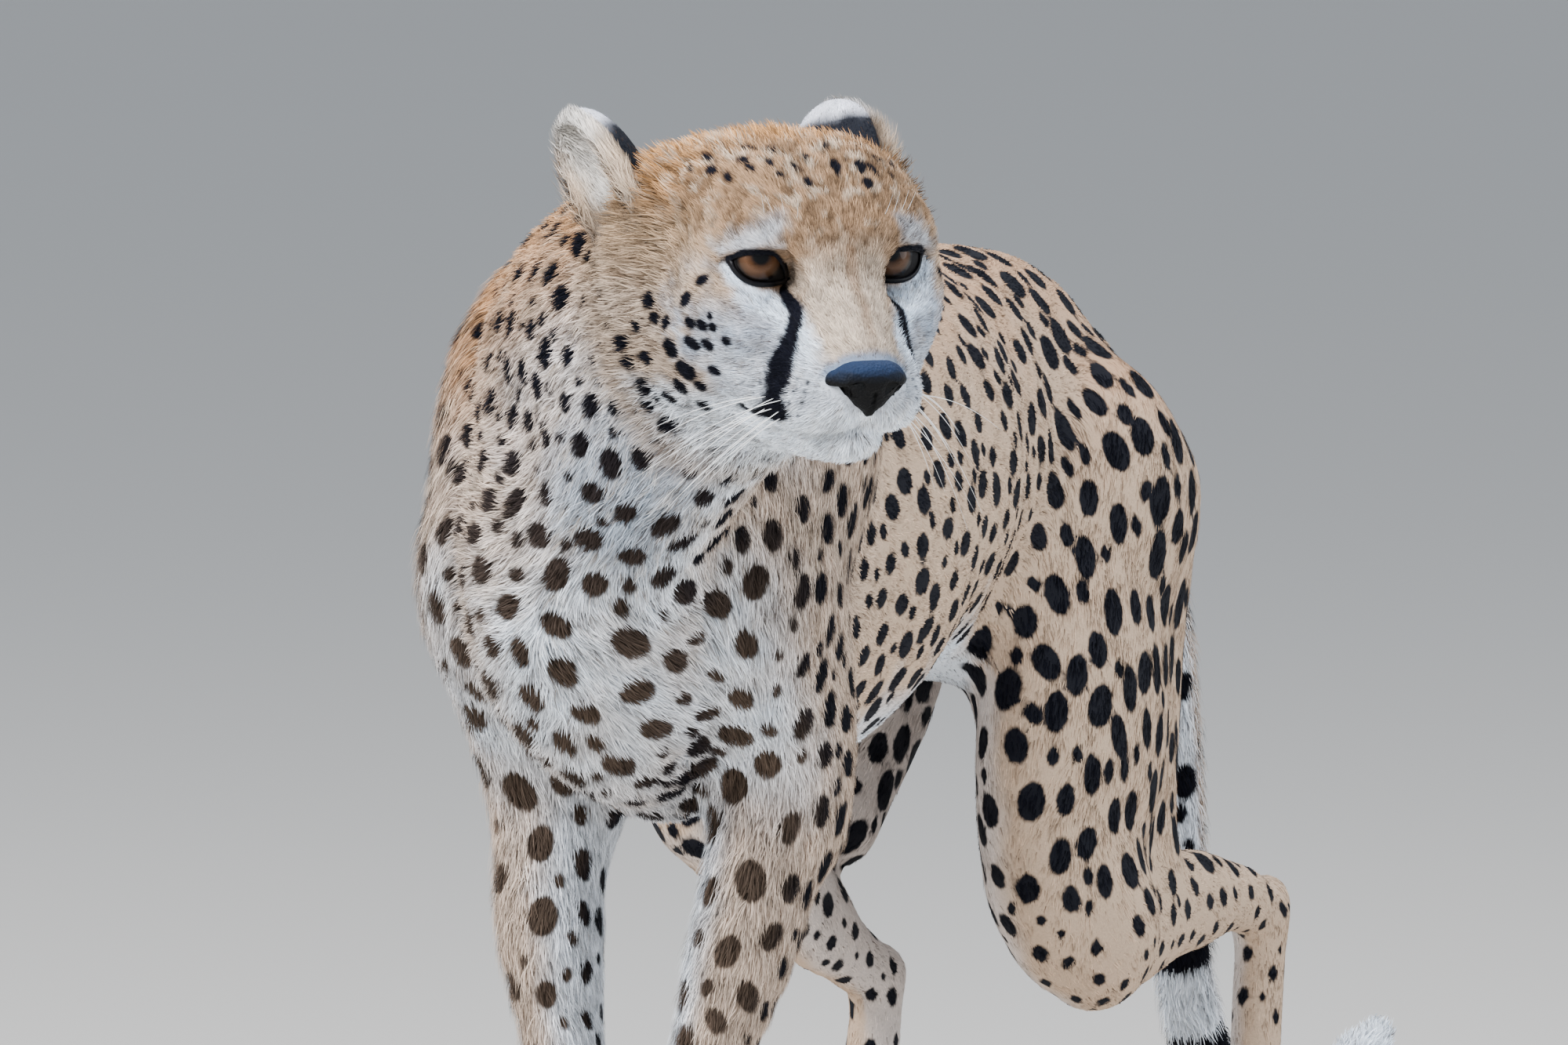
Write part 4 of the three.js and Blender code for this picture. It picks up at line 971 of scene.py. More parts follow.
def eye_material():
    """A wet eye: amber iris with fine spokes, darker at its rim, a round pupil and a brown-black outer ring."""
    material, tree, shader = new_material("wet_eye")
    radial = attribute(tree, "radial")
    spokes_place = add_node(tree, "ShaderNodeCombineXYZ", {
        "X": attribute(tree, "spoke"), "Y": radial, "Z": 0.0,
    })
    spokes = add_node(tree, "ShaderNodeTexNoise", {"Vector": spokes_place.outputs[0], "Scale": 3.0, "Detail": 5.0})
    wobble = add_node(tree, "ShaderNodeMath", {0: spokes.outputs["Fac"], 1: 1.6, 2: -0.8}, operation="MULTIPLY_ADD")
    placed = add_node(tree, "ShaderNodeMath", {0: radial, 1: wobble.outputs[0]}, operation="ADD")
    ramp = add_node(tree, "ShaderNodeValToRGB", {"Fac": add_node(tree, "ShaderNodeMath", {
        0: placed.outputs[0], 1: EYE_ARC}, operation="DIVIDE").outputs[0]})
    pupil, iris = PUPIL_RADIUS / EYE_ARC, IRIS_RADIUS / EYE_ARC
    stops = [(0.0, "020202"), (pupil * 0.98, "010101"), (pupil * 1.12, "150c07"), (pupil * 1.6, "3d2512"),
             (iris * 0.62, "4f3522"), (iris * 0.86, "3d291a"), (iris * 0.98, "150e09"), (iris * 1.06, "070505")]
    while len(ramp.color_ramp.elements) < len(stops):
        ramp.color_ramp.elements.new(0.5)
    for element, (place, colour) in zip(ramp.color_ramp.elements, stops):
        element.position = place
        element.color = (*linear(colour), 1)
    shade = add_node(tree, "ShaderNodeMapRange", {"Value": spokes.outputs["Fac"], "To Min": 0.7, "To Max": 1.35})
    tinted = add_node(tree, "ShaderNodeVectorMath", {0: ramp.outputs["Color"], "Scale": shade.outputs[0]},
                      operation="SCALE")
    tree.links.new(tinted.outputs[0], shader.inputs["Base Color"])
    shader.inputs["Roughness"].default_value = 0.4
    shader.inputs["Specular IOR Level"].default_value = 0.1
    shader.inputs["Coat Weight"].default_value = 1.0
    shader.inputs["Coat IOR"].default_value = 1.22
    shader.inputs["Coat Roughness"].default_value = 0.02
    return material


def bare_skin_material(name, roughness, grain_mm, depth_mm):
    """Bare dark skin with a fine pebbled grain, as on the nose, the lids and the pads."""
    material, tree, shader = new_material(name)
    place = add_node(tree, "ShaderNodeTexCoord").outputs["Object"]
    cells = add_node(tree, "ShaderNodeTexVoronoi", {"Vector": place, "Scale": 1000.0 / grain_mm})
    stain = add_node(tree, "ShaderNodeTexNoise", {"Vector": place, "Scale": 120.0, "Detail": 3.0})
    bump = add_node(tree, "ShaderNodeBump", {"Height": cells.outputs["Distance"], "Strength": 0.6,
                                             "Distance": depth_mm * MM})
    pale = add_node(tree, "ShaderNodeMapRange", {"Value": stain.outputs["Fac"], "To Min": 0.7, "To Max": 1.4})
    tint = add_node(tree, "ShaderNodeVectorMath", {0: attribute(tree, "ground", "Color"), "Scale": pale.outputs[0]},
                    operation="SCALE")
    tree.links.new(tint.outputs[0], shader.inputs["Base Color"])
    tree.links.new(bump.outputs[0], shader.inputs["Normal"])
    shader.inputs["Roughness"].default_value = roughness
    shader.inputs["Specular IOR Level"].default_value = 0.16
    return material


def plain_material(name, colour, roughness, scale, spread=0.15):
    """A material whose colour varies a little with a soft noise."""
    material, tree, shader = new_material(name)
    place = add_node(tree, "ShaderNodeTexCoord").outputs["Object"]
    noise = add_node(tree, "ShaderNodeTexNoise", {"Vector": place, "Scale": scale, "Detail": 4.0})
    light, dark = (tuple(linear(colour) * (1 + s)) + (1,) for s in (spread, -spread))
    mixed = add_node(tree, "ShaderNodeMix", {0: noise.outputs["Fac"], 6: dark, 7: light}, data_type="RGBA")
    tree.links.new(mixed.outputs[2], shader.inputs["Base Color"])
    shader.inputs["Roughness"].default_value = roughness
    shader.inputs["Specular IOR Level"].default_value = 0.2
    return material


# ---------------------------------------------------------------- the skin

FLESH = [
    "torso_chest", "torso_loin", "torso_rump", "neck", "head_face", "head_crown",
    *(f"foreleg_{side}_{part}" for side in ("left", "right") for part in ("upper", "lower", "paw")),
    *(f"hind_{side}_{part}" for side in ("left", "right") for part in ("thigh", "shank", "heel", "paw")),
    "tail_root", "tail_middle", "tail_tip",
]
VOXEL = 5.5
FACE_LOW = np.array([-75.0, -62.0, -95.0])
FACE_HIGH = np.array([75.0, 44.0, 44.0])


def coat_depth(design, head):
    """How far the skin lies inside the outline of the coat, in millimetres."""
    x, y, z = design.T
    share = head_share(design)
    depth = 4.0 + 2.5 * (1 - smoothstep(0, 110, y)) * smoothstep(300, 420, z)
    depth -= 2.2 * (1 - smoothstep(110, 240, z)) * (field(TAIL, design) > 12)
    face = 1.2 + 3.0 * smoothstep(20, 90, head[:, 1]) + 2.6 * smoothstep(22, 46, head[:, 2])
    face += 2.6 * smoothstep(20, 50, head[:, 0]) * smoothstep(22, 46, head[:, 2])
    return depth + (face - depth) * share


def build_skin():
    copies = [solid_copy(node) for node in [*FLESH, "eye_left", "eye_right", "nose"]]
    skin = joined(copies, "skin")
    skin.data.remesh_voxel_size = VOXEL * MM
    skin.data.remesh_voxel_adaptivity = 0.0
    bpy.ops.object.voxel_remesh()
    keep_largest(skin)
    refine(skin)
    mesh = skin.data
    design = to_design(co_of(mesh))
    design = settled(animal_field, design, coat_depth(design, to_head(design)))
    head = to_head(design)
    near = np.linalg.norm(head - [0, 0, -30], axis=1) < 110
    local = head[near]
    shape_lids(local)
    design[near] = from_head(local)
    set_co(mesh, from_design(design))
    normals = normals_of(mesh)
    head = to_head(design)
    front = np.flatnonzero((head[:, 1] < 20) & (head[:, 2] < -50) & (np.abs(head[:, 0]) < 60))
    groove = mouth_distance(head[front])
    design[front] -= normals[front] * (2.6 * np.exp(-((groove / 1.5) ** 2)))[:, None]
    design[:, 2] = np.maximum(design[:, 2], FLOOR)
    set_co(mesh, from_design(design))
    bpy.ops.object.shade_smooth()
    return skin


def keep_largest(obj):
    """Drops every island but the largest."""
    bm = bmesh.new()
    bm.from_mesh(obj.data)
    bm.verts.ensure_lookup_table()
    seen = set()
    islands = []
    for vertex in bm.verts:
        if vertex.index in seen:
            continue
        island, front = [vertex], [vertex]
        seen.add(vertex.index)
        while front:
            current = front.pop()
            for edge in current.link_edges:
                other = edge.other_vert(current)
                if other.index not in seen:
                    seen.add(other.index)
                    island.append(other)
                    front.append(other)
        islands.append(island)
    islands.sort(key=len)
    for island in islands[:-1]:
        bmesh.ops.delete(bm, geom=island, context="VERTS")
    bm.to_mesh(obj.data)
    bm.free()


def refine(obj):
    """Finer faces on the face, and a little finer on the rest of the head."""
    mesh = obj.data
    design = to_design(co_of(mesh))
    head = to_head(design)
    face = np.all((head > FACE_LOW) & (head < FACE_HIGH), axis=1)
    for cuts, chosen in ((1, face | (head_share(design) > 0.5)), (1, None)):
        if chosen is None:
            design = to_design(co_of(mesh))
            head = to_head(design)
            chosen = np.all((head > FACE_LOW) & (head < FACE_HIGH), axis=1)
        pick(obj)
        mesh.polygons.foreach_set("select", np.zeros(len(mesh.polygons), bool))
        mesh.edges.foreach_set("select", np.zeros(len(mesh.edges), bool))
        mesh.vertices.foreach_set("select", chosen)
        bpy.ops.object.mode_set(mode="EDIT")
        bpy.ops.mesh.select_mode(type="VERT")
        bpy.ops.mesh.subdivide(number_cuts=cuts)
        bpy.ops.object.mode_set(mode="OBJECT")
        mesh = obj.data


# ---------------------------------------------------------------- eyes, lid rims, nose


def build_eye(side, name):
    """An eyeball with the cornea's bulge, its colours laid out round the line of sight."""
    bpy.ops.mesh.primitive_uv_sphere_add(segments=64, ring_count=48, radius=EYE_RADIUS)
    eye = bpy.context.object
    eye.name = eye.data.name = name.replace("eye_", "eyeball_")
    local = co_of(eye.data)
    off_axis = np.degrees(np.arccos(np.clip(local[:, 2] / EYE_RADIUS, -1, 1)))
    radial = np.radians(off_axis) * EYE_RADIUS
    spoke = np.arctan2(local[:, 1], local[:, 0])
    bulge = 1.5 * (1 - smoothstep(18, 44, off_axis))
    local *= (1 + bulge / EYE_RADIUS)[:, None]
    gaze = GAZE[side]
    pitch = GAZE_UP
    forwards = np.array([math.sin(gaze) * math.cos(pitch), -math.cos(gaze) * math.cos(pitch), math.sin(pitch)])
    out = np.cross(forwards, [0, 0, 1])
    out /= np.linalg.norm(out)
    up = np.cross(out, forwards)
    head = local[:, :1] * out + local[:, 1:2] * up + local[:, 2:] * forwards
    head += [EYE_OUT * side, EYE_BACK, 0]
    set_co(eye.data, from_design(from_head(head)))
    store(eye.data, "radial", radial)
    store(eye.data, "spoke", np.sin(spoke * 2) * 2 + np.cos(spoke * 3))
    bpy.ops.object.shade_smooth()
    eye.data.materials.append(eye_material())
    eye.data.materials.append(plain_material("dark_eye_rim", "090607", 0.7, 300.0, 0.3))
    for face in eye.data.polygons:
        outside = min(radial[n] for n in face.vertices) > IRIS_RADIUS + 0.4
        face.material_index = 1 if outside else 0
    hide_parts(name)
    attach(eye, "root")


def tube(bm, rings, closed):
    """Bridges rings of points into a tube, closed on itself or capped."""
    loops = [[bm.verts.new(point) for point in ring] for ring in rings]
    count = len(loops[0])
    pairs = list(zip(loops, loops[1:] + loops[:1] if closed else loops[1:]))
    for first, second in pairs:
        for n in range(count):
            m = (n + 1) % count
            bm.faces.new((first[n], first[m], second[m], second[n]))
    if not closed:
        bm.faces.new(loops[0][::-1])
        bm.faces.new(loops[-1])


def build_lid_rim(side, name):
    """The wet black edge of both lids."""
    bm = bmesh.new()
    middle = ALMOND.mean(0)
    rings = []
    for n, (across, up) in enumerate(ALMOND):
        before, after = ALMOND[n - 1], ALMOND[(n + 1) % len(ALMOND)]
        out = np.array([(after - before)[1], -(after - before)[0]])
        out /= np.linalg.norm(out)
        if out @ (ALMOND[n] - middle) < 0:
            out = -out
        width = 1.0 + (0.5 if up > 0 else 0.25)
        ring = []
        for turn in np.linspace(0, 2 * math.pi, 8, endpoint=False):
            away = math.cos(turn) * width + width * 0.5
            a, u = across + out[0] * away, up + out[1] * away
            ball = math.sqrt(max(EYE_RADIUS**2 - a * a - u * u, 4))
            ring.append((a, ball + 0.9 + math.sin(turn) * 0.95 + 0.3 * max(away, 0), u))
        local = from_eye(np.array(ring), side)
        rings.append([tuple(p) for p in from_design(from_head(local))])
    tube(bm, rings, True)
    bmesh.ops.recalc_face_normals(bm, faces=bm.faces)
    mesh = bpy.data.meshes.new(name)
    bm.to_mesh(mesh)
    bm.free()
    rim = new_object(name, mesh)
    pick(rim)
    bpy.ops.object.shade_smooth()
    store(mesh, "ground", np.tile(linear("0c0b0e"), (len(mesh.vertices), 1)))
    mesh.materials.append(bare_skin_material("bare_lid_skin", 0.35, 0.8, 0.1))
    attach(rim, "root")


def nose_field(points):
    """The nose leather with its nostrils and the groove below them."""
    total = field(NOSE, points)
    folded = points.copy()
    folded[:, 0] = np.abs(folded[:, 0])
    for start, end, radius in (((7.5, -61, -47.8), (9.5, -47, -48.2), 3.2), ((9.5, -58, -48.6), (16.5, -46, -50.2), 2.5),
                               ((16, -52, -50.2), (20.5, -42, -48.6), 1.7)):
        a, b = np.array(start), np.array(end)
        t = np.clip((folded - a) @ (b - a) / ((b - a) @ (b - a)), 0, 1)
        hole = np.linalg.norm(folded - a - t[:, None] * (b - a), axis=1) - radius
        total = -blend_min(-total, hole, 1.6)
    groove = np.hypot(points[:, 0], np.maximum(points[:, 2] + 50, 0)) - 0.9
    total = -blend_min(-total, np.maximum(groove, points[:, 1] + 54), 1.0)
    return total


def build_nose():
    nose = solid_copy("nose")
    nose.name = nose.data.name = "nose_leather"
    nose.data.remesh_voxel_size = 0.8 * MM
    bpy.ops.object.voxel_remesh()
    mesh = nose.data
    head = to_head(to_design(co_of(mesh)))
    head = settled(nose_field, head, np.full(len(head), 0.0), 4)
    normals = normals_of(mesh) @ HEAD_AXES
    set_co(mesh, from_design(from_head(head)))
    # Painted reflection: the upward-facing top of the black leather is coloured blue-grey, as the sky's sheen on it.
    top = smoothstep(-46, -39.5, head[:, 2] + 0.8 * lattice(head, 3, 45)) * smoothstep(-0.2, 0.7, normals[:, 2])
    colour = mix(np.tile(linear("020203"), (len(head), 1)), linear("162640"), top)
    # Painted shade: the nostril hollows are coloured darker still, as shade in the recesses.
    hollow = smoothstep(0.6, 1.6, -field(NOSE, head))
    colour = mix(colour, linear("010101"), hollow)
    store(mesh, "ground", colour)
    pick(nose)
    bpy.ops.object.shade_smooth()
    mesh.materials.append(bare_skin_material("nose_leather", 0.7, 1.3, 0.8))
    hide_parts("nose")
    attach(nose, "root")


# ---------------------------------------------------------------- the coat


def outline_of(skin):
    """What the coat needs to know of each vertex of the skin."""
    mesh = skin.data
    design = to_design(co_of(mesh))
    normals = normals_of(mesh)
    return design, normals


def lie_of_fur(design, normals):
    """The direction along the skin in which the fur lies."""
    def body(points):
        return run_of(BODY, points)
    ways = in_chunks(body, design)
    ways = unit(ways)
    ways[:, 2] -= 0.35 * (1 - np.abs(normals[:, 2]))
    head = to_head(design)
    from_nose = unit(head - [0, -62, -44])
    crown = smoothstep(30, 90, head[:, 1])[:, None]
    from_nose = unit(from_nose * (1 - crown) + np.array([0, 0.9, -0.25]) * crown)
    share = head_share(design)[:, None]
    ways = ways * (1 - share) + (from_nose @ HEAD_AXES.T) * share
    ways += 0.22 * np.column_stack([lattice(design, 26, seed) for seed in (11, 12, 13)])
    ways -= normals * (ways * normals).sum(1)[:, None]
    return unit(ways)


COAT_MARKS = ("ground", "ink", "line", "clear")
FLOOR = 0.3 - SHIFT[2]


def coat_plan(design, normals):
    """Length, width and lift of the tufts in millimetres and degrees, and how many grow on a square millimetre."""
    head = to_head(design)
    x, y, z = design.T
    hx, hy, hz = np.abs(head[:, 0]), head[:, 1], head[:, 2]
    share = head_share(design)
    front = 1 - smoothstep(-10, 120, y)
    legs = 1 - smoothstep(250, 340, z)
    feet = 1 - smoothstep(60, 130, z)
    tail = (field(TAIL, design) < 8) & (y > 600)
    chest = front * smoothstep(-0.1, 0.6, -normals[:, 1])
    length = 7.5 + 2.0 * front + 4.5 * chest - 1.5 * legs - 2.5 * feet
    width = 0.85 - 0.2 * front - 0.1 * legs - 0.2 * feet
    lift = 6 + 7 * front + 7 * chest
    density = 0.32 + 0.3 * front
    length = np.where(tail, 12, length)
    lift = np.where(tail, 22, lift)
    density = np.where(tail, 0.3, density)
    face_length = 5.6 + 4.6 * smoothstep(10, 60, hy) + 3.5 * smoothstep(26, 60, hz)
    face_length -= 1.6 * (1 - smoothstep(-30, 0, hy)) * smoothstep(-40, -20, hz)
    face_length += 4.0 * smoothstep(30, 90, hy) * (1 - smoothstep(-40, -10, hz))
    face_lift = 18 + 24 * smoothstep(30, 52, hz) + 8 * smoothstep(40, 90, hy)
    face_width = 0.42 + 0.2 * smoothstep(10, 90, hy)
    face_density = 1.9 - 1.22 * smoothstep(10, 80, hy)
    length = length + (face_length - length) * share
    lift = lift + (face_lift - lift) * share
    width = width + (face_width - width) * share
    density = density + (face_density - density) * share
    fringe = fringe_share(head)
    length += 11 * fringe
    lift += 22 * fringe
    width -= 0.2 * fringe
    lids = np.zeros(len(design))
    for side in (1, -1):
        local = to_eye(head, side)
        near = (np.hypot(local[:, 0], local[:, 2]) < 26) & (local[:, 1] > 0)
        gap = np.full(len(design), 50.0)
        if near.any():
            gap[near] = almond_distance(local[near, 0], local[near, 2])[0]
        lids = np.maximum(lids, 1 - smoothstep(1.2, 9, gap))
        density = np.where(gap < 0.7, 0, density)
    length *= 1 - 0.5 * lids
    nose = field(NOSE, head) if len(head) else lids
    density = np.where(nose < 1.0, 0, density)
    length *= 1 - 0.5 * (1 - smoothstep(1, 9, nose))
    density = np.where(z < 3.0, 0, density)
    return {"length": length, "width": width, "lift": lift, "density": density}


class Skin:
    """The skin's triangles with everything that a tuft takes from its root's place."""

    def __init__(self, obj):
        mesh = obj.data
        mesh.calc_loop_triangles()
        count = len(mesh.loop_triangles)
        corners = np.empty(count * 3, np.int32)
        mesh.loop_triangles.foreach_get("vertices", corners)
        loops = np.empty(count * 3, np.int32)
        mesh.loop_triangles.foreach_get("loops", loops)
        self.corners = corners.reshape(-1, 3)
        uv = np.empty(len(mesh.loops) * 2)
        mesh.uv_layers["OFBake"].uv.foreach_get("vector", uv)
        self.uv = uv.reshape(-1, 2)[loops].reshape(-1, 3, 2)
        self.points = to_design(co_of(mesh))
        self.normals = normals_of(mesh)
        a, b, c = (self.points[self.corners[:, n]] for n in range(3))
        self.area = np.linalg.norm(np.cross(b - a, c - a), axis=1) / 2
        self.fields = {}
        self.spots = None

    def keep(self, name, values):
        self.fields[name] = np.asarray(values, float)

    def roots(self, chosen, scale, seed):
        """Root points spread over the chosen triangles, as triangle numbers and shares of the corners."""
        rng = np.random.default_rng(seed)
        density = self.fields["density"][self.corners].mean(1)
        weight = np.where(chosen, self.area * density * scale, 0)
        total = np.cumsum(weight)
        count = int(total[-1])
        if count == 0:
            return np.empty(0, int), np.empty((0, 3))
        places = (np.arange(count) + rng.random(count)) * total[-1] / count
        triangle = np.minimum(np.searchsorted(total, places), len(total) - 1)
        u, v = np.sqrt(rng.random(count)), rng.random(count)
        return triangle, np.column_stack([1 - u, u * (1 - v), u * v])

    def at(self, values, triangle, shares):
        rows = values[self.corners[triangle]]
        if rows.ndim == 3:
            return (rows * shares[:, :, None]).sum(1)
        return (rows * shares).sum(1)


def grow(skin, name, chosen, scale, seed, material):
    """One piece of coat: thin tapered tufts rooted in the skin, each bent along the lie of the fur."""
    triangle, shares = skin.roots(chosen, scale, seed)
    count = len(triangle)
    rng = np.random.default_rng(seed + 500)
    root = skin.at(skin.points, triangle, shares)
    normal = unit(skin.at(skin.normals, triangle, shares))
    way = skin.at(skin.fields["way"], triangle, shares)
    length, width, lift = (skin.at(skin.fields[key], triangle, shares) for key in ("length", "width", "lift"))
    clump = np.column_stack([lattice(root, 4.0, s) for s in (31, 32, 33)]) * 0.35
    way = way + clump + rng.normal(0, 0.12, (count, 3))
    way = unit(way - normal * (way * normal).sum(1)[:, None])
    across = np.cross(normal, way)
    length = length * rng.uniform(0.65, 1.2, count) * (1 + 0.22 * lattice(root, 9.0, 34))
    lift = np.radians(lift * rng.uniform(0.5, 1.5, count) + 6 * lattice(root, 7.0, 35))
    rise, run = np.sin(lift)[:, None], np.cos(lift)[:, None]
    half = (width / 2)[:, None]
    start = root - way * (length * 0.42)[:, None] - normal * 0.8
    middle = start + (way * run * 0.9 + normal * rise * 1.15) * (length * 0.5)[:, None] + normal * 0.5
    tip = start + (way * run + normal * rise * 0.78) * length[:, None] + normal * 0.5
    rows = np.stack([
        start - across * half, start + across * half,
        middle - across * half * 0.72, middle + across * half * 0.72, tip,
    ], 1)
    rows[:, :, 2] = np.maximum(rows[:, :, 2], FLOOR)
    mesh = bpy.data.meshes.new(name)
    mesh.vertices.add(count * 5)
    mesh.loops.add(count * 7)
    mesh.polygons.add(count * 2)
    mesh.vertices.foreach_set("co", from_design(rows.reshape(-1, 3)).astype(np.float32).ravel())
    base = (np.arange(count) * 5)[:, None]
    mesh.loops.foreach_set("vertex_index", (base + [0, 2, 3, 1, 2, 4, 3]).astype(np.int32).ravel())
    starts = (np.arange(count) * 7)[:, None] + [0, 4]
    mesh.polygons.foreach_set("loop_start", starts.astype(np.int32).ravel())
    mesh.update(calc_edges=True)
    mesh.validate()
    facing = unit(normal + 0.25 * way + rng.normal(0, 0.2, (count, 3)))
    mesh.polygons.foreach_set("use_smooth", np.ones(count * 2, bool))
    mesh.normals_split_custom_set_from_vertices(np.repeat(facing, 5, 0).astype(np.float32))
    ground, ink, line, clear = (skin.at(skin.fields[key], triangle, shares) for key in COAT_MARKS)
    clumped = smoothstep(-0.35, 0.65, lattice(root, 3.4, 38) + 0.5 * lattice(root, 1.8, 39))
    flecked = rng.random(count) < 1.7 * clumped * skin.at(skin.fields["fleck"], triangle, shares)
    ground = mix(ground, FLECK, flecked * rng.uniform(0.35, 0.8, count))
    creamy = smoothstep(0.05, 0.7, lattice(root, 4.2, 43) + 0.5 * lattice(root, 2.0, 44))
    ground = mix(ground, CREAM, creamy * skin.at(skin.fields["cream"], triangle, shares))
    store(mesh, "ground", np.repeat(ground, 5, 0))
    store(mesh, "ink", np.repeat(ink, 5, 0))
    marks = np.stack([
        np.maximum(skin.spots.inside(root + (place - root) * 0.8) - clear, line) for place in (start, middle, tip)
    ], 1)
    store(mesh, "spot", marks[:, [0, 0, 1, 1, 2]].ravel())
    shade = 0.5 + 0.3 * lattice(root, 3.5, 36) + 0.25 * lattice(root, 9.0, 37) + rng.uniform(-0.35, 0.35, count)
    store(mesh, "vary", np.repeat(np.clip(shade, 0, 1), 5))
    frost = skin.at(skin.fields["frost"], triangle, shares) * rng.uniform(0.2, 1.0, count)
    # The tip value runs from root to end; the material uses it to darken the root end as painted shade and to pale the
    # frosted end.
    store(mesh, "tip", np.outer(1 + frost, [0, 0, 0.5, 0.5, 1]).ravel())
    centre = (skin.uv[triangle] * shares[:, :, None]).sum(1)
    patch = np.array([(-1, -1), (-1, 0), (1, 0), (1, -1), (-1, 0), (0, 1), (1, 0)]) * 0.0015
    layer = mesh.uv_layers.new(name="OFBake")
    layer.uv.foreach_set("vector", (centre[:, None] + patch).astype(np.float32).ravel())
    mesh.materials.append(material)
    coat = new_object(name, mesh)
    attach(coat, "root")
    return count * 3


def coat_regions(skin):
    """The pieces of coat: each name with the triangles of the skin that it grows on."""
    middle = skin.points[skin.corners].mean(1)
    head = to_head(middle)
    on_head = head_share(middle) > 0.5
    y, z = middle[:, 1], middle[:, 2]
    face = on_head & (head[:, 1] < 26)
    crown = on_head & ~face
    front = ~on_head & (y < 40) & (z > 330)
    left = middle[:, 0] > -8
    legs = ~on_head & (z <= 330) & (y < 250)
    hind = ~on_head & ~legs & ~front & ((z < 330) | (y > 620))
    trunk = ~(on_head | front | legs | hind)
    rear = trunk & (y >= 260)
    return {
        "coat_face_left": face & (head[:, 0] > 0), "coat_face_right": face & (head[:, 0] <= 0),
        "coat_crown": crown, "coat_neck": front & (z > 520), "coat_chest": front & (z <= 520),
        "coat_trunk_front": trunk & (y < 260), "coat_trunk_rear": rear & left, "coat_thigh_right": rear & ~left,
        "coat_foreleg_left": legs & left, "coat_foreleg_right": legs & ~left,
        "coat_hind_left": hind & left, "coat_hind_right": hind & ~left,
    }


# ---------------------------------------------------------------- whiskers and claws


def tapered_hair(bm, start, way, droop, length, girth, steps=9, sides=5):
    """One long stiff hair, curved and drawn to a point."""
    way = Vector(way).normalized()
    bend = Vector(droop)
    rings = []
    for step in range(steps + 1):
        t = step / steps
        centre = Vector(start) + way * (length * t) + bend * (length * t * t * 0.35)
        tangent = (way + bend * (0.7 * t)).normalized()
        side = tangent.orthogonal().normalized()
        other = tangent.cross(side)
        radius = girth * (1 - 0.86 * t)
        rings.append([
            centre + (side * math.cos(a) + other * math.sin(a)) * radius
            for a in (n / sides * 2 * math.pi for n in range(sides))
        ])
    tube(bm, [[tuple(p * MM) for p in ring] for ring in rings], False)


def nearest_on(tree, point):
    """The closest point and normal on the skin, in design millimetres."""
    place, normal, _, _ = tree.find_nearest(Vector(from_design(np.array(point))))
    return to_design(np.array(place)), np.array(normal)


WHISKERS = 12


def build_whiskers(skin_tree):
    rng = np.random.default_rng(77)
    bm = bmesh.new()
    for side in (1, -1):
        for n in range(WHISKERS):
            row = n % 3
            spot = np.array([side * 30, -28 + 1.9 * n, -56 - 4.0 * row])
            place, normal = nearest_on(skin_tree, from_head(spot))
            local = np.array([side * 0.85, 0.2 + 0.05 * n, -0.3 - 0.2 * row])
            way = HEAD_AXES @ (local + rng.normal(0, 0.09, 3))
            droop = HEAD_AXES @ np.array([0, 0.25, -0.75 + rng.normal(0, 0.15)])
            length = rng.uniform(38, 68)
            tapered_hair(bm, place + SHIFT - normal * 1.0, way, droop, length, rng.uniform(0.2, 0.28))
        for n in range(4):
            spot = np.array([side * (20 + 5 * n), -4, 18 + 2 * n])
            place, normal = nearest_on(skin_tree, from_head(spot))
            way = HEAD_AXES @ (np.array([side * 0.25, -0.35, 0.75]) + rng.normal(0, 0.1, 3))
            tapered_hair(bm, place + SHIFT - normal, way, HEAD_AXES @ np.array([0, 0.5, 0.1]), 12, 0.1, 6, 4)
    mesh = bpy.data.meshes.new("whiskers")
    bm.to_mesh(mesh)
    bm.free()
    whiskers = new_object("whiskers", mesh)
    pick(whiskers)
    bpy.ops.object.shade_smooth()
    mesh.materials.append(plain_material("white_horn_hair", "fbfbfa", 0.3, 60.0, 0.02))
    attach(whiskers, "root")


FEET = {"foreleg_left": (32, -26, 0), "foreleg_right": (-37, -10, 0), "hind_left": (52, 680, 14),
        "hind_right": (-70, 442, 0)}


def build_claws():
    """Blunt dark claws that show past the toes."""
    bm = bmesh.new()
    for x, y, _ in FEET.values():
        for across, reach in ((-1.5, -20), (-0.55, -34), (0.55, -34), (1.5, -20)):
            tip = np.array([x + across * 13.3, y + reach - 27, 11.0]) + SHIFT
            rings = []
            for step in range(7):
                t = step / 6
                centre = tip + np.array([0, -9.5 * t, 1.5 - 7.5 * t * t])
                radius = 2.3 * (1 - 0.82 * t)
                rings.append([
                    tuple((centre + [math.cos(a) * radius * 0.7, 0, math.sin(a) * radius]) * MM)
                    for a in (n / 10 * 2 * math.pi for n in range(10))
                ])
            tube(bm, rings, False)
    bmesh.ops.recalc_face_normals(bm, faces=bm.faces)
    mesh = bpy.data.meshes.new("claws")
    bm.to_mesh(mesh)
    bm.free()
    claws = new_object("claws", mesh)
    pick(claws)
    bpy.ops.object.shade_smooth()
    mesh.materials.append(plain_material("dark_claw_horn", "2c2724", 0.35, 400.0, 0.3))
    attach(claws, "root")


# ---------------------------------------------------------------- ears


EARS = {
    "ear_left": ((47, 101, 5), (51, 131, 54), (0.86, 0.5, -0.1)),
    "ear_right": ((-60, 94, 3), (-84, 113, 56), (-0.99, -0.08, -0.12)),
}
EAR_HALF_WIDTH = 27.5
EAR_HALF_DEPTH = 17.5
EAR_WALL = 3.4


def ear_frame(base, tip, opening):
    up = np.array(tip, float) - base
    height = np.linalg.norm(up)
    up /= height
    back = -np.array(opening, float)
    back -= up * (back @ up)
    back /= np.linalg.norm(back)
    return np.cross(back, up), back, up, height


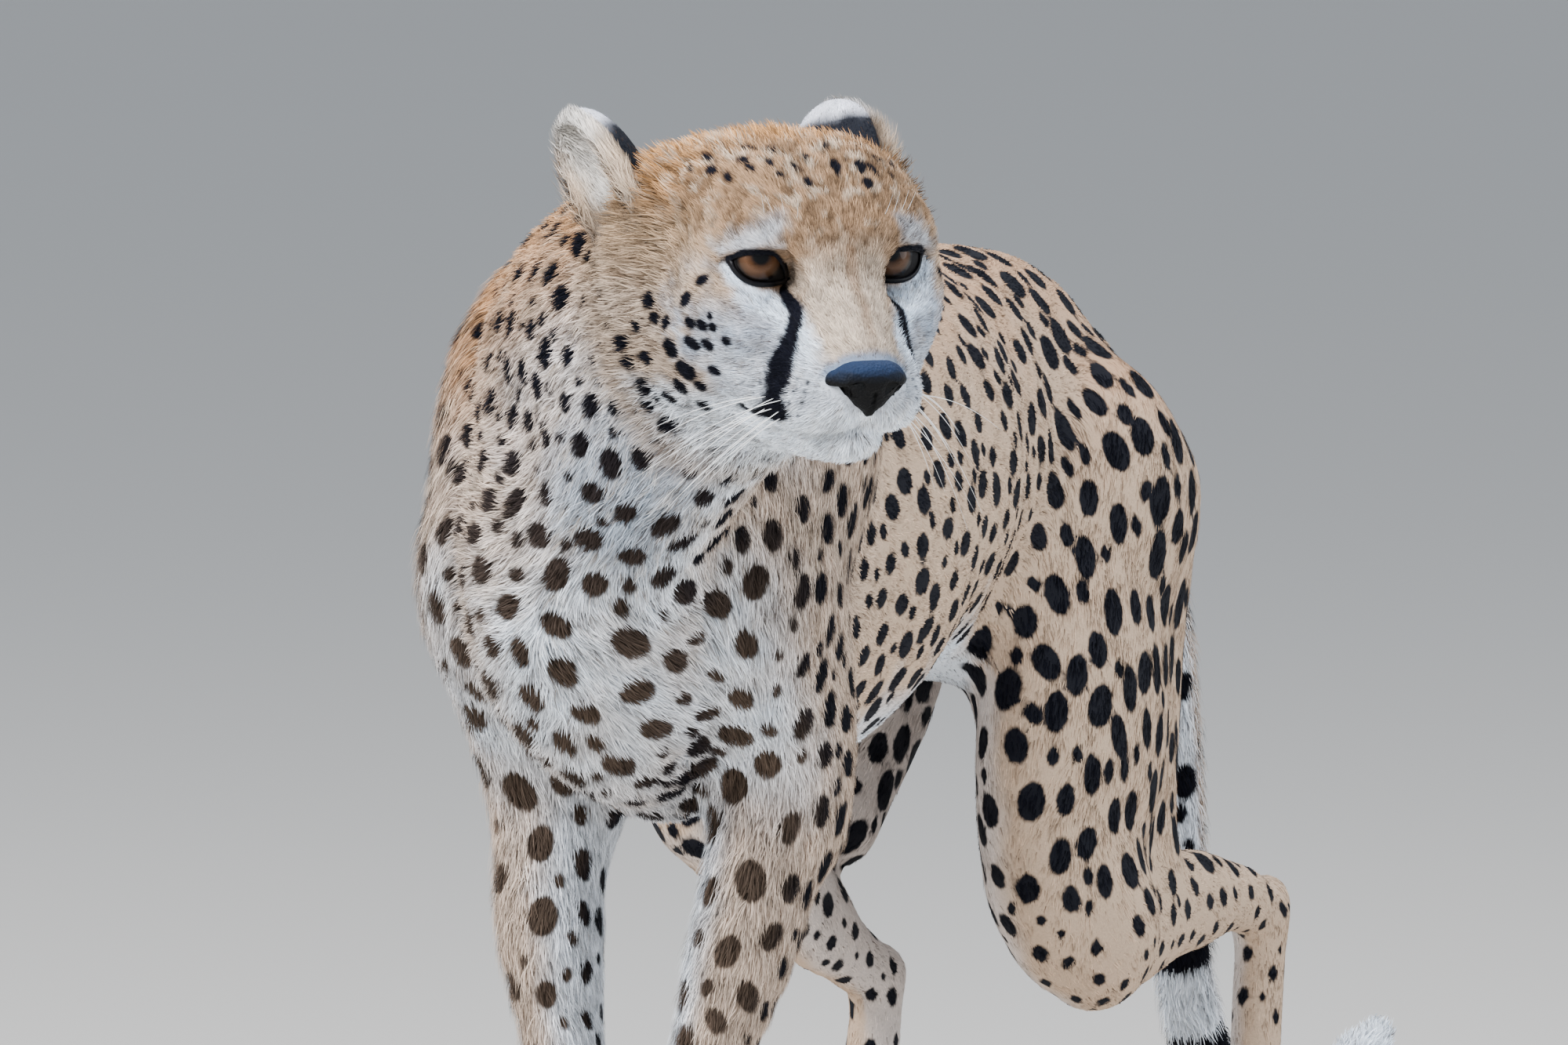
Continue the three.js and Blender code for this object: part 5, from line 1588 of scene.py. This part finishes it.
def build_ear(name):
    """An egg-shaped cup with a thin wall, in its own frame, cut open towards the front."""
    base, tip, opening = EARS[name]
    across, back, up, height = ear_frame(*EARS[name])
    half = height * 0.62
    shells = []
    for wall, out in ((0.6, 0.0), (EAR_WALL - 0.4, -2.6 * EAR_WALL)):
        bpy.ops.mesh.primitive_uv_sphere_add(segments=56, ring_count=40, radius=1)
        egg = bpy.context.object
        local = co_of(egg.data)
        depth = EAR_HALF_DEPTH if out else EAR_HALF_DEPTH - wall
        local *= [EAR_HALF_WIDTH - wall, depth, half - wall]
        local += [0, out, height - half]
        head = local[:, :1] * across + local[:, 1:2] * back + local[:, 2:] * up + base
        set_co(egg.data, from_design(from_head(head)))
        shells.append(egg)
    outer, inner = shells
    cut = outer.modifiers.new("cup", "BOOLEAN")
    cut.operation = "DIFFERENCE"
    cut.solver = "EXACT"
    cut.object = inner
    pick(outer)
    bpy.ops.object.modifier_apply(modifier="cup")
    pick(inner)
    bpy.ops.object.delete()
    outer.name = outer.data.name = f"{name}_cup"
    store(outer.data, "ear", np.full(len(outer.data.vertices), 1.0 + list(EARS).index(name)))
    return outer


def ear_places(design, normals, numbers):
    """For the vertices of the ears: which they are, their place in the ear's frame and how far they face its cup."""
    head = to_head(design)
    rows, places, facings = [], [], []
    for number, name in enumerate(EARS, 1):
        across, back, up, height = ear_frame(*EARS[name])
        chosen = np.flatnonzero(np.abs(numbers - number) < 0.5)
        away = head[chosen] - EARS[name][0]
        rows.append(chosen)
        places.append(np.column_stack([away @ across, away @ back, away @ up, np.full(len(chosen), height)]))
        facings.append(-(normals[chosen] @ (HEAD_AXES @ back)))
    return np.concatenate(rows), np.concatenate(places), np.concatenate(facings)


# ---------------------------------------------------------------- operators


class CheetahSettings(bpy.types.PropertyGroup):
    """Sizes that change the look of the coat."""

    tuft_share: FloatProperty(name="Tuft share", description="How many of the tufts are grown", default=1.0,
                              min=0.05, max=1.0)
    seed: IntProperty(name="Seed", description="Start of the random draws", default=4, min=0)


class CHEETAH_OT_skin(bpy.types.Operator):
    """One skin over all the flesh, with its markings and a map of its shape"""

    bl_idname = "cheetah.skin"
    bl_label = "Skin"

    def execute(self, context):
        skin = build_skin()
        store(skin.data, "ear", np.zeros(len(skin.data.vertices)))
        skin = joined([skin, *(build_ear(name) for name in EARS)], "skin")
        mesh = skin.data
        design, normals = outline_of(skin)
        numbers = np.empty(len(design), np.float32)
        mesh.attributes["ear"].data.foreach_get("value", numbers)
        ears, ear_local, facing = ear_places(design, normals, numbers)
        ways = lie_of_fur(design, normals)
        for number, name in enumerate(EARS, 1):
            up = HEAD_AXES @ ear_frame(*EARS[name])[2]
            ways[np.abs(numbers - number) < 0.5] = up
        ways = unit(ways - normals * (ways * normals).sum(1)[:, None])
        plan = coat_plan(design, normals)
        inside = smoothstep(-0.15, 0.15, facing)
        low = 1 - smoothstep(0.3, 0.9, ear_local[:, 2] / ear_local[:, 3])
        plan["length"][ears] = 2.6 + (4.0 + 9.0 * low) * inside
        plan["width"][ears] = 0.42
        plan["lift"][ears] = 16 + 18 * inside
        plan["density"][ears] = 1.5
        ring, length = tail_rings(design)
        on_tail = (field(TAIL, design) < 8) & (design[:, 1] > 590)
        ground = ground_colour(design, normals)
        under_tail = smoothstep(-0.2, 0.6, -normals[:, 1] * smoothstep(0, 200, length) - 0.5 * normals[:, 2])
        ground = mix(ground, WHITE, on_tail * under_tail * smoothstep(60, 160, length) * 0.9)
        ground = mix(ground, WHITE, on_tail * smoothstep(300, 420, length + lattice(design, 20, 6) * 20) * 0.7)
        ground = mix(ground, WHITE, on_tail * smoothstep(700, 730, length))
        ground[ears] = ear_colour(ear_local, facing)
        clear = np.zeros(len(design))
        clear[ears] = 20.0
        spots = scatter_spots(design, normals, ways, clear == 0, context.scene.cheetah.seed)
        line = np.where(on_tail, ring, -20.0)
        line = np.where(clear > 0, -20.0, np.maximum(line, face_lines(design)))
        marks = {"ground": ground, "ink": ink_colour(design, normals), "spot": np.maximum(spots.inside(design) - clear, line)}
        for key, values in marks.items():
            store(mesh, key, values)
        pick(skin)
        mesh.uv_layers.new(name="OFBake")
        bpy.ops.object.mode_set(mode="EDIT")
        bpy.ops.mesh.select_all(action="SELECT")
        bpy.ops.uv.smart_project(angle_limit=math.radians(66), island_margin=0.001)
        bpy.ops.object.mode_set(mode="OBJECT")
        mesh = skin.data
        mesh.materials.clear()
        mesh.materials.append(skin_material())
        table = Skin(skin)
        table.spots = spots
        for key, values in {**plan, **marks, "way": ways, "line": line, "clear": clear,
                            "fleck": np.where(clear > 0, 0.12, fleck_share(design)),
                            "frost": frosted_tips(design), "cream": np.where(clear > 0, 0, cream_share(design))}.items():
            table.keep(key, values)
        CHEETAH_OT_coat.table = table
        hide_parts(*FLESH, *EARS)
        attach(skin, "root")
        return {"FINISHED"}


class CHEETAH_OT_coat(bpy.types.Operator):
    """Thin tapered tufts over the skin, in a piece for each region"""

    bl_idname = "cheetah.coat"
    bl_label = "Coat"
    table = None

    def execute(self, context):
        settings = context.scene.cheetah
        material = fur_material()
        total = 0
        for n, (name, chosen) in enumerate(coat_regions(self.table).items()):
            made = grow(self.table, name, chosen, settings.tuft_share, settings.seed + 10 * n, material)
            total += made
            print("COAT", name, made)
        print("COAT total", total)
        return {"FINISHED"}


class CHEETAH_OT_eyes(bpy.types.Operator):
    """Both eyeballs and the dark edges of their lids"""

    bl_idname = "cheetah.eyes"
    bl_label = "Eyes"

    def execute(self, context):
        for side, name in ((1, "left"), (-1, "right")):
            build_eye(side, f"eye_{name}")
            build_lid_rim(side, f"lid_rim_{name}")
        return {"FINISHED"}


class CHEETAH_OT_nose(bpy.types.Operator):
    """The bare nose leather with its nostrils"""

    bl_idname = "cheetah.nose"
    bl_label = "Nose"

    def execute(self, context):
        build_nose()
        return {"FINISHED"}


class CHEETAH_OT_whiskers(bpy.types.Operator):
    """Whiskers on the lips and above the eyes, and the claws"""

    bl_idname = "cheetah.whiskers"
    bl_label = "Whiskers and Claws"

    def execute(self, context):
        skin = bpy.data.objects["skin"]
        tree = BVHTree.FromObject(skin, context.evaluated_depsgraph_get())
        build_whiskers(tree)
        build_claws()
        return {"FINISHED"}


# ---------------------------------------------------------------- camera, light and floor

VIEW_AZIMUTH = math.radians(21)
VIEW_ELEVATION = math.radians(5)
FOCAL_PIXELS = 22640.0
IMAGE_WIDTH = 2000.0
SENSOR_MM = 36.0
VIEW_DISTANCE = 8000.0


class CHEETAH_OT_stage(bpy.types.Operator):
    """Camera, soft studio light and a plain pale floor"""

    bl_idname = "cheetah.stage"
    bl_label = "Stage"

    def execute(self, context):
        scene = context.scene
        ca, sa = math.cos(VIEW_AZIMUTH), math.sin(VIEW_AZIMUTH)
        ce, se = math.cos(VIEW_ELEVATION), math.sin(VIEW_ELEVATION)
        forwards = np.array([-sa * ce, ca * ce, -se])
        right = np.array([ca, sa, 0])
        up = np.cross(right, forwards)
        target = EYE_POINT + SHIFT - 21.2 * right - 116.4 * up
        camera_data = bpy.data.cameras.new("camera")
        camera = bpy.data.objects.new("camera", camera_data)
        scene.collection.objects.link(camera)
        camera.matrix_world = Matrix((
            (right[0], up[0], -forwards[0], (target[0] - VIEW_DISTANCE * forwards[0]) * MM),
            (right[1], up[1], -forwards[1], (target[1] - VIEW_DISTANCE * forwards[1]) * MM),
            (right[2], up[2], -forwards[2], (target[2] - VIEW_DISTANCE * forwards[2]) * MM),
            (0, 0, 0, 1),
        ))
        camera_data.sensor_width = SENSOR_MM
        camera_data.lens = FOCAL_PIXELS / IMAGE_WIDTH * SENSOR_MM
        camera_data.clip_end = 100
        scene.camera = camera

        bpy.ops.mesh.primitive_grid_add(x_subdivisions=8, y_subdivisions=8, size=60, location=(0, 0, 0))
        floor = context.object
        floor.name = "floor"
        floor.data.materials.append(plain_material("pale_paper", "c9c5bf", 0.9, 0.4, 0.02))

        middle = (target * MM)
        for name, offset, size, power, tint in (
            ("key", (-1.2, -2.5, 2.3), 2.0, 335, (0.97, 0.98, 1.0)),
            ("fill", (3.2, 0.5, 1.0), 3.0, 84, (0.86, 0.93, 1.0)),
            ("top", (0.3, 1.2, 3.0), 2.6, 120, (0.98, 0.98, 1.0)),
        ):
            light_data = bpy.data.lights.new(name, "AREA")
            light_data.shape = "DISK"
            light_data.size = size
            light_data.energy = power
            light_data.color = tint
            light = bpy.data.objects.new(name, light_data)
            scene.collection.objects.link(light)
            place = Vector(middle) + Vector(offset)
            light.location = place
            light.rotation_euler = (Vector(middle) - place).to_track_quat("-Z", "Y").to_euler()
        world = bpy.data.worlds.new("studio")
        world.use_nodes = True
        background = world.node_tree.nodes["Background"]
        background.inputs["Color"].default_value = (0.78, 0.87, 1.0, 1)
        background.inputs["Strength"].default_value = 0.72
        scene.world = world
        return {"FINISHED"}


class CHEETAH_PT_panel(bpy.types.Panel):
    """Buttons for each piece, in order"""

    bl_idname = "CHEETAH_PT_panel"
    bl_label = "Cheetah"
    bl_space_type = "VIEW_3D"
    bl_region_type = "UI"
    bl_category = "Cheetah"

    def draw(self, context):
        layout = self.layout
        layout.prop(context.scene.cheetah, "tuft_share")
        layout.prop(context.scene.cheetah, "seed")
        for operator in OPERATORS:
            layout.operator(operator.bl_idname)


OPERATORS = (
    CHEETAH_OT_skin, CHEETAH_OT_eyes, CHEETAH_OT_nose, CHEETAH_OT_whiskers, CHEETAH_OT_coat, CHEETAH_OT_stage,
)


def register():
    bpy.utils.register_class(CheetahSettings)
    for operator in OPERATORS:
        bpy.utils.register_class(operator)
    bpy.utils.register_class(CHEETAH_PT_panel)
    bpy.types.Scene.cheetah = PointerProperty(type=CheetahSettings)


def unregister():
    del bpy.types.Scene.cheetah
    bpy.utils.unregister_class(CHEETAH_PT_panel)
    for operator in reversed(OPERATORS):
        bpy.utils.unregister_class(operator)
    bpy.utils.unregister_class(CheetahSettings)


def main():
    register()
    bpy.ops.cheetah.skin()
    bpy.ops.cheetah.eyes()
    bpy.ops.cheetah.nose()
    bpy.ops.cheetah.whiskers()
    bpy.ops.cheetah.coat()
    bpy.ops.cheetah.stage()


if __name__ == "__main__":
    main()
